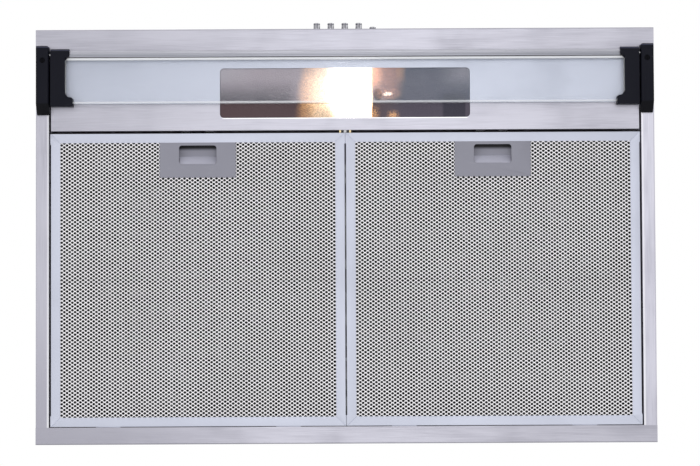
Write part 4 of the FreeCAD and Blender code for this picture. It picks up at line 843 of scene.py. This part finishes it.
class HOOD_OT_controls(bpy.types.Operator):
    """Push buttons, their surround and the switch case"""
    bl_idname = "hood.controls"
    bl_label = "Controls"

    def execute(self, context):
        props = context.scene.hood_finishes
        black = moulded("control_black", tuple(props.black), 0.35, gloss=0.15)
        eased("button_bezel", black, 0.4 * MM)
        coat(black, "switch_case")
        for name in ("fan_off", "fan_low", "fan_medium", "fan_high", "light"):
            self.button(name, chrome(f"chrome_{name}", f"button_{name}"))
        return {"FINISHED"}

    def button(self, name, material):
        """Button: a dished face, a round edge, a waist line and the stem, turned about the push line."""
        low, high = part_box(f"button_{name}")
        radius = (high.x - low.x) / 2
        bend = 0.9 * MM
        sweep = np.linspace(0, math.pi / 2, 7)
        face = np.linspace(0, radius - bend, 6)
        dish = 0.25 * MM * (1 - (face / (radius - bend)) ** 2)
        edge_y = bend * (1 - np.cos(sweep))
        edge_r = radius - bend + bend * np.sin(sweep)
        waist = radius - 0.25 * MM
        stem = 2.5 * MM
        shoulder = high.y - 16 * MM
        along = np.concatenate([low.y + dish, low.y + edge_y[1:],
                                [low.y + 2.2 * MM, low.y + 2.4 * MM, low.y + 2.8 * MM, low.y + 3 * MM,
                                 shoulder, shoulder, high.y, high.y]])
        radii = np.concatenate([face, edge_r[1:], [radius, waist, waist, radius, radius, stem, stem, 0]])
        centre = ((low.x + high.x) / 2, 0, (low.z + high.z) / 2)
        turned(f"push_button_{name}", f"{name}_button", centre, "y", along, radii, material, 40,
               replaced=(f"button_{name}",), slot="chrome")


class HOOD_OT_filters(bpy.types.Operator):
    """Filter frames, mesh covers, waved layers and latches"""
    bl_idname = "hood.filters"
    bl_label = "Filters"

    def execute(self, context):
        props = context.scene.hood_finishes
        channel = filter_frame_metal("channel_aluminium")
        cover = mesh_metal("mesh_aluminium")
        weave = dark_weave("mesh_layer")
        grey = moulded("latch_grey", tuple(props.grey), 0.5, 700)
        for side in SIDES:
            body = f"{side}_filter"
            eased(f"{side}_filter_frame", channel, 0.2 * MM)
            eased(f"{side}_latch_case", grey, 0.5 * MM, 3)
            eased(f"{side}_latch_slide", self.slide_grey(side), 0.3 * MM)
            case_low, case_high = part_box(f"{side}_latch_case")
            hole = ((case_low.x + case_high.x) / 2, (case_low.y + case_high.y - CASE_BRIM) / 2,
                    (case_high.x - case_low.x) / 2 - CASE_BRIM, (case_high.y - case_low.y - CASE_BRIM) / 2)
            for label, outward in (("face", -1), ("back", 1)):
                node = f"{side}_filter_{label}"
                low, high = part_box(node)
                for part, rear in (("front", False), ("rear", True)):
                    mesh_cover(f"{node}_{part}", body, low, high, hole, outward, rear, cover,
                               replaced=(node,), slot="filter_aluminium")
            low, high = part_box(f"{side}_filter_pack")
            waved_layer(f"{side}_waved_mesh", body, low, high, hole, weave, replaced=(f"{side}_filter_pack",),
                        slot="mesh_aluminium")
        return {"FINISHED"}

    def slide_grey(self, side):
        """Grey plastic of a latch slide: in shade under the front of the finger recess, light on the ramp."""
        low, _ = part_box(f"{side}_latch_case")
        start = low.y + 3.5 * MM
        mix = Recipe(f"slide_grey_{side}")
        y = mix.part("Y")
        deep = 1 - y.smooth(start + 1.8 * MM, start + 6.5 * MM)
        ramp = y.smooth(start + 12.8 * MM, start + 13.8 * MM)
        grit = mix.noise(700, 2)
        value = tuple(bpy.context.scene.hood_finishes.grey)
        base = mix.blend(ramp, dim(value, 1.15), dim(value, 1.9))
        base = mix.blend(deep, base, dim(value, 0.05))
        return mix.finish(Base_Color=base, Roughness=0.5 + grit * 0.1, Specular_IOR_Level=0.3,
                          Normal=mix.bump(grit, 0.00006))


class HOOD_OT_blower(bpy.types.Operator):
    """Blower, motor and inlet"""
    bl_idname = "hood.blower"
    bl_label = "Blower"

    def execute(self, context):
        sheet = zinc_sheet("zinc_spangle")
        coat(sheet, "blower_case", "blower_cover", "outlet_ring", "inlet_ring")
        coat(moulded("wheel_plastic", (0.10, 0.10, 0.11), 0.4, 500), "blower_wheel")
        coat(plain_metal("motor_enamel", (0.03, 0.03, 0.035), 0.4, 0.3), "motor")
        coat(plain_metal("shaft_steel", (0.6, 0.6, 0.62), 0.2), "motor_shaft")
        return {"FINISHED"}


class HOOD_OT_duct(bpy.types.Operator):
    """Duct collar and damper flaps"""
    bl_idname = "hood.duct"
    bl_label = "Duct"

    def execute(self, context):
        coat(plain_metal("collar_aluminium", (0.62, 0.62, 0.64), 0.32), "duct_collar")
        coat(plain_metal("flap_aluminium", (0.66, 0.66, 0.68), 0.38), "front_damper_flap", "rear_damper_flap")
        return {"FINISHED"}


class HOOD_OT_wiring(bpy.types.Operator):
    """Wiring box, gland and capacitor"""
    bl_idname = "hood.wiring"
    bl_label = "Wiring"

    def execute(self, context):
        props = context.scene.hood_finishes
        coat(zinc_sheet("zinc_box"), "wiring_box", "wiring_cover")
        eased("cable_gland", moulded("gland_nylon", tuple(props.black), 0.4), 0.4 * MM)
        coat(moulded("capacitor_white", (0.72, 0.72, 0.69), 0.3, 200), "capacitor")
        coat(plain_metal("strap_steel", (0.5, 0.5, 0.52)), "capacitor_strap")
        return {"FINISHED"}


class HOOD_OT_stage(bpy.types.Operator):
    """Pale floor, white surroundings, soft light and camera"""
    bl_idname = "hood.stage"
    bl_label = "Stage"

    def execute(self, context):
        studio = context.scene.hood_studio
        self.surroundings(studio.world)
        self.floor()
        under = (0, 0, -0.12)
        self.softbox("light_middle", (0.04, -0.20, -2.95), under, 0.45, 1.8, 7.2)
        self.softbox("light_right", (0.95, -0.35, -2.9), under, 0.4, 0.9, 1.1)
        self.softbox("light_left", (-1.8, 0.5, -1.9), under, 1.2, 1.2, 3.0)
        self.softbox("light_top", (-1.4, -1.0, 2.6), (0, 0, 0), 2.4, 2.4, 26.0)
        self.camera(studio)
        context.scene.view_settings.view_transform = "Standard"
        return {"FINISHED"}

    def surroundings(self, strength):
        """White all round."""
        world = bpy.data.worlds.new("white")
        world.use_nodes = True
        background = world.node_tree.nodes["Background"]
        background.inputs["Color"].default_value = (1, 1, 1, 1)
        background.inputs["Strength"].default_value = strength
        bpy.context.scene.world = world

    def floor(self):
        """Pale floor far below the hood."""
        mix = Recipe("floor_pale")
        speck = mix.noise(30, 3)
        material = mix.finish(Base_Color=mix.blend(speck, (0.82, 0.82, 0.82), (0.78, 0.78, 0.79)),
                              Roughness=0.6 + speck * 0.2)
        half = 12.0
        depth = -3.2
        mesh = bpy.data.meshes.new("floor")
        corners = [(-half, -half, depth), (half, -half, depth), (half, half, depth), (-half, half, depth)]
        mesh.from_pydata(corners, [], [(0, 1, 2, 3)])
        mesh.materials.append(material)
        floor = bpy.data.objects.new("floor", mesh)
        bpy.context.scene.collection.objects.link(floor)

    def softbox(self, name, place, target, wide, long, power):
        """A large soft light aimed at a point."""
        lamp = bpy.data.lights.new(name, "AREA")
        lamp.shape = "RECTANGLE"
        lamp.size = wide
        lamp.size_y = long
        lamp.energy = power
        light = bpy.data.objects.new(name, lamp)
        bpy.context.scene.collection.objects.link(light)
        light.location = place
        light.rotation_euler = (Vector(target) - Vector(place)).to_track_quat("-Z", "Y").to_euler()

    def camera(self, studio):
        """Camera under the hood, looking up, with the hood's front at the top of the picture."""
        low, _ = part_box("front_panel")
        centre = Vector((0, 0, low.z))
        data = bpy.data.cameras.new("camera")
        data.lens = studio.lens
        data.clip_end = 50
        camera = bpy.data.objects.new("camera", data)
        bpy.context.scene.collection.objects.link(camera)
        back = Vector((0, math.sin(studio.tilt), -math.cos(studio.tilt)))
        up = Vector((0, -math.cos(studio.tilt), -math.sin(studio.tilt)))
        right = up.cross(back)
        turn = Matrix((right, up, back)).transposed()
        camera.matrix_world = (Matrix.Translation(centre + back * studio.distance)
                               @ turn.to_4x4() @ Matrix.Rotation(-studio.roll, 4, "Z"))
        data.shift_x, data.shift_y = studio.shift
        bpy.context.scene.camera = camera


STEPS = (HOOD_OT_shell, HOOD_OT_lamp, HOOD_OT_visor, HOOD_OT_controls, HOOD_OT_filters, HOOD_OT_blower,
         HOOD_OT_duct, HOOD_OT_wiring, HOOD_OT_stage)
GROUPS = {"hood_finishes": HoodFinishes, "hood_filter": HoodFilter, "hood_lamp": HoodLamp,
          "hood_studio": HoodStudio}


class HOOD_PT_panel(bpy.types.Panel):
    """Sidebar panel with the sizes, colours and steps of the hood"""
    bl_idname = "HOOD_PT_panel"
    bl_label = "Range hood"
    bl_space_type = "VIEW_3D"
    bl_region_type = "UI"
    bl_category = "Range hood"

    def draw(self, context):
        for name, group in GROUPS.items():
            box = self.layout.box()
            for item in group.__annotations__:
                box.prop(getattr(context.scene, name), item)
        for step in STEPS:
            self.layout.operator(step.bl_idname)


def register():
    """Make the properties, operators and panel known."""
    for item in (*GROUPS.values(), *STEPS, HOOD_PT_panel):
        bpy.utils.register_class(item)
    for name, group in GROUPS.items():
        setattr(bpy.types.Scene, name, PointerProperty(type=group))


def unregister():
    """Take them away again."""
    for name in GROUPS:
        delattr(bpy.types.Scene, name)
    for item in reversed((*GROUPS.values(), *STEPS, HOOD_PT_panel)):
        bpy.utils.unregister_class(item)


def main():
    """Build every group in order."""
    register()
    for step in STEPS:
        group, name = step.bl_idname.split(".")
        getattr(getattr(bpy.ops, group), name)()
    bpy.context.view_layer.update()


if __name__ == "__main__":
    main()
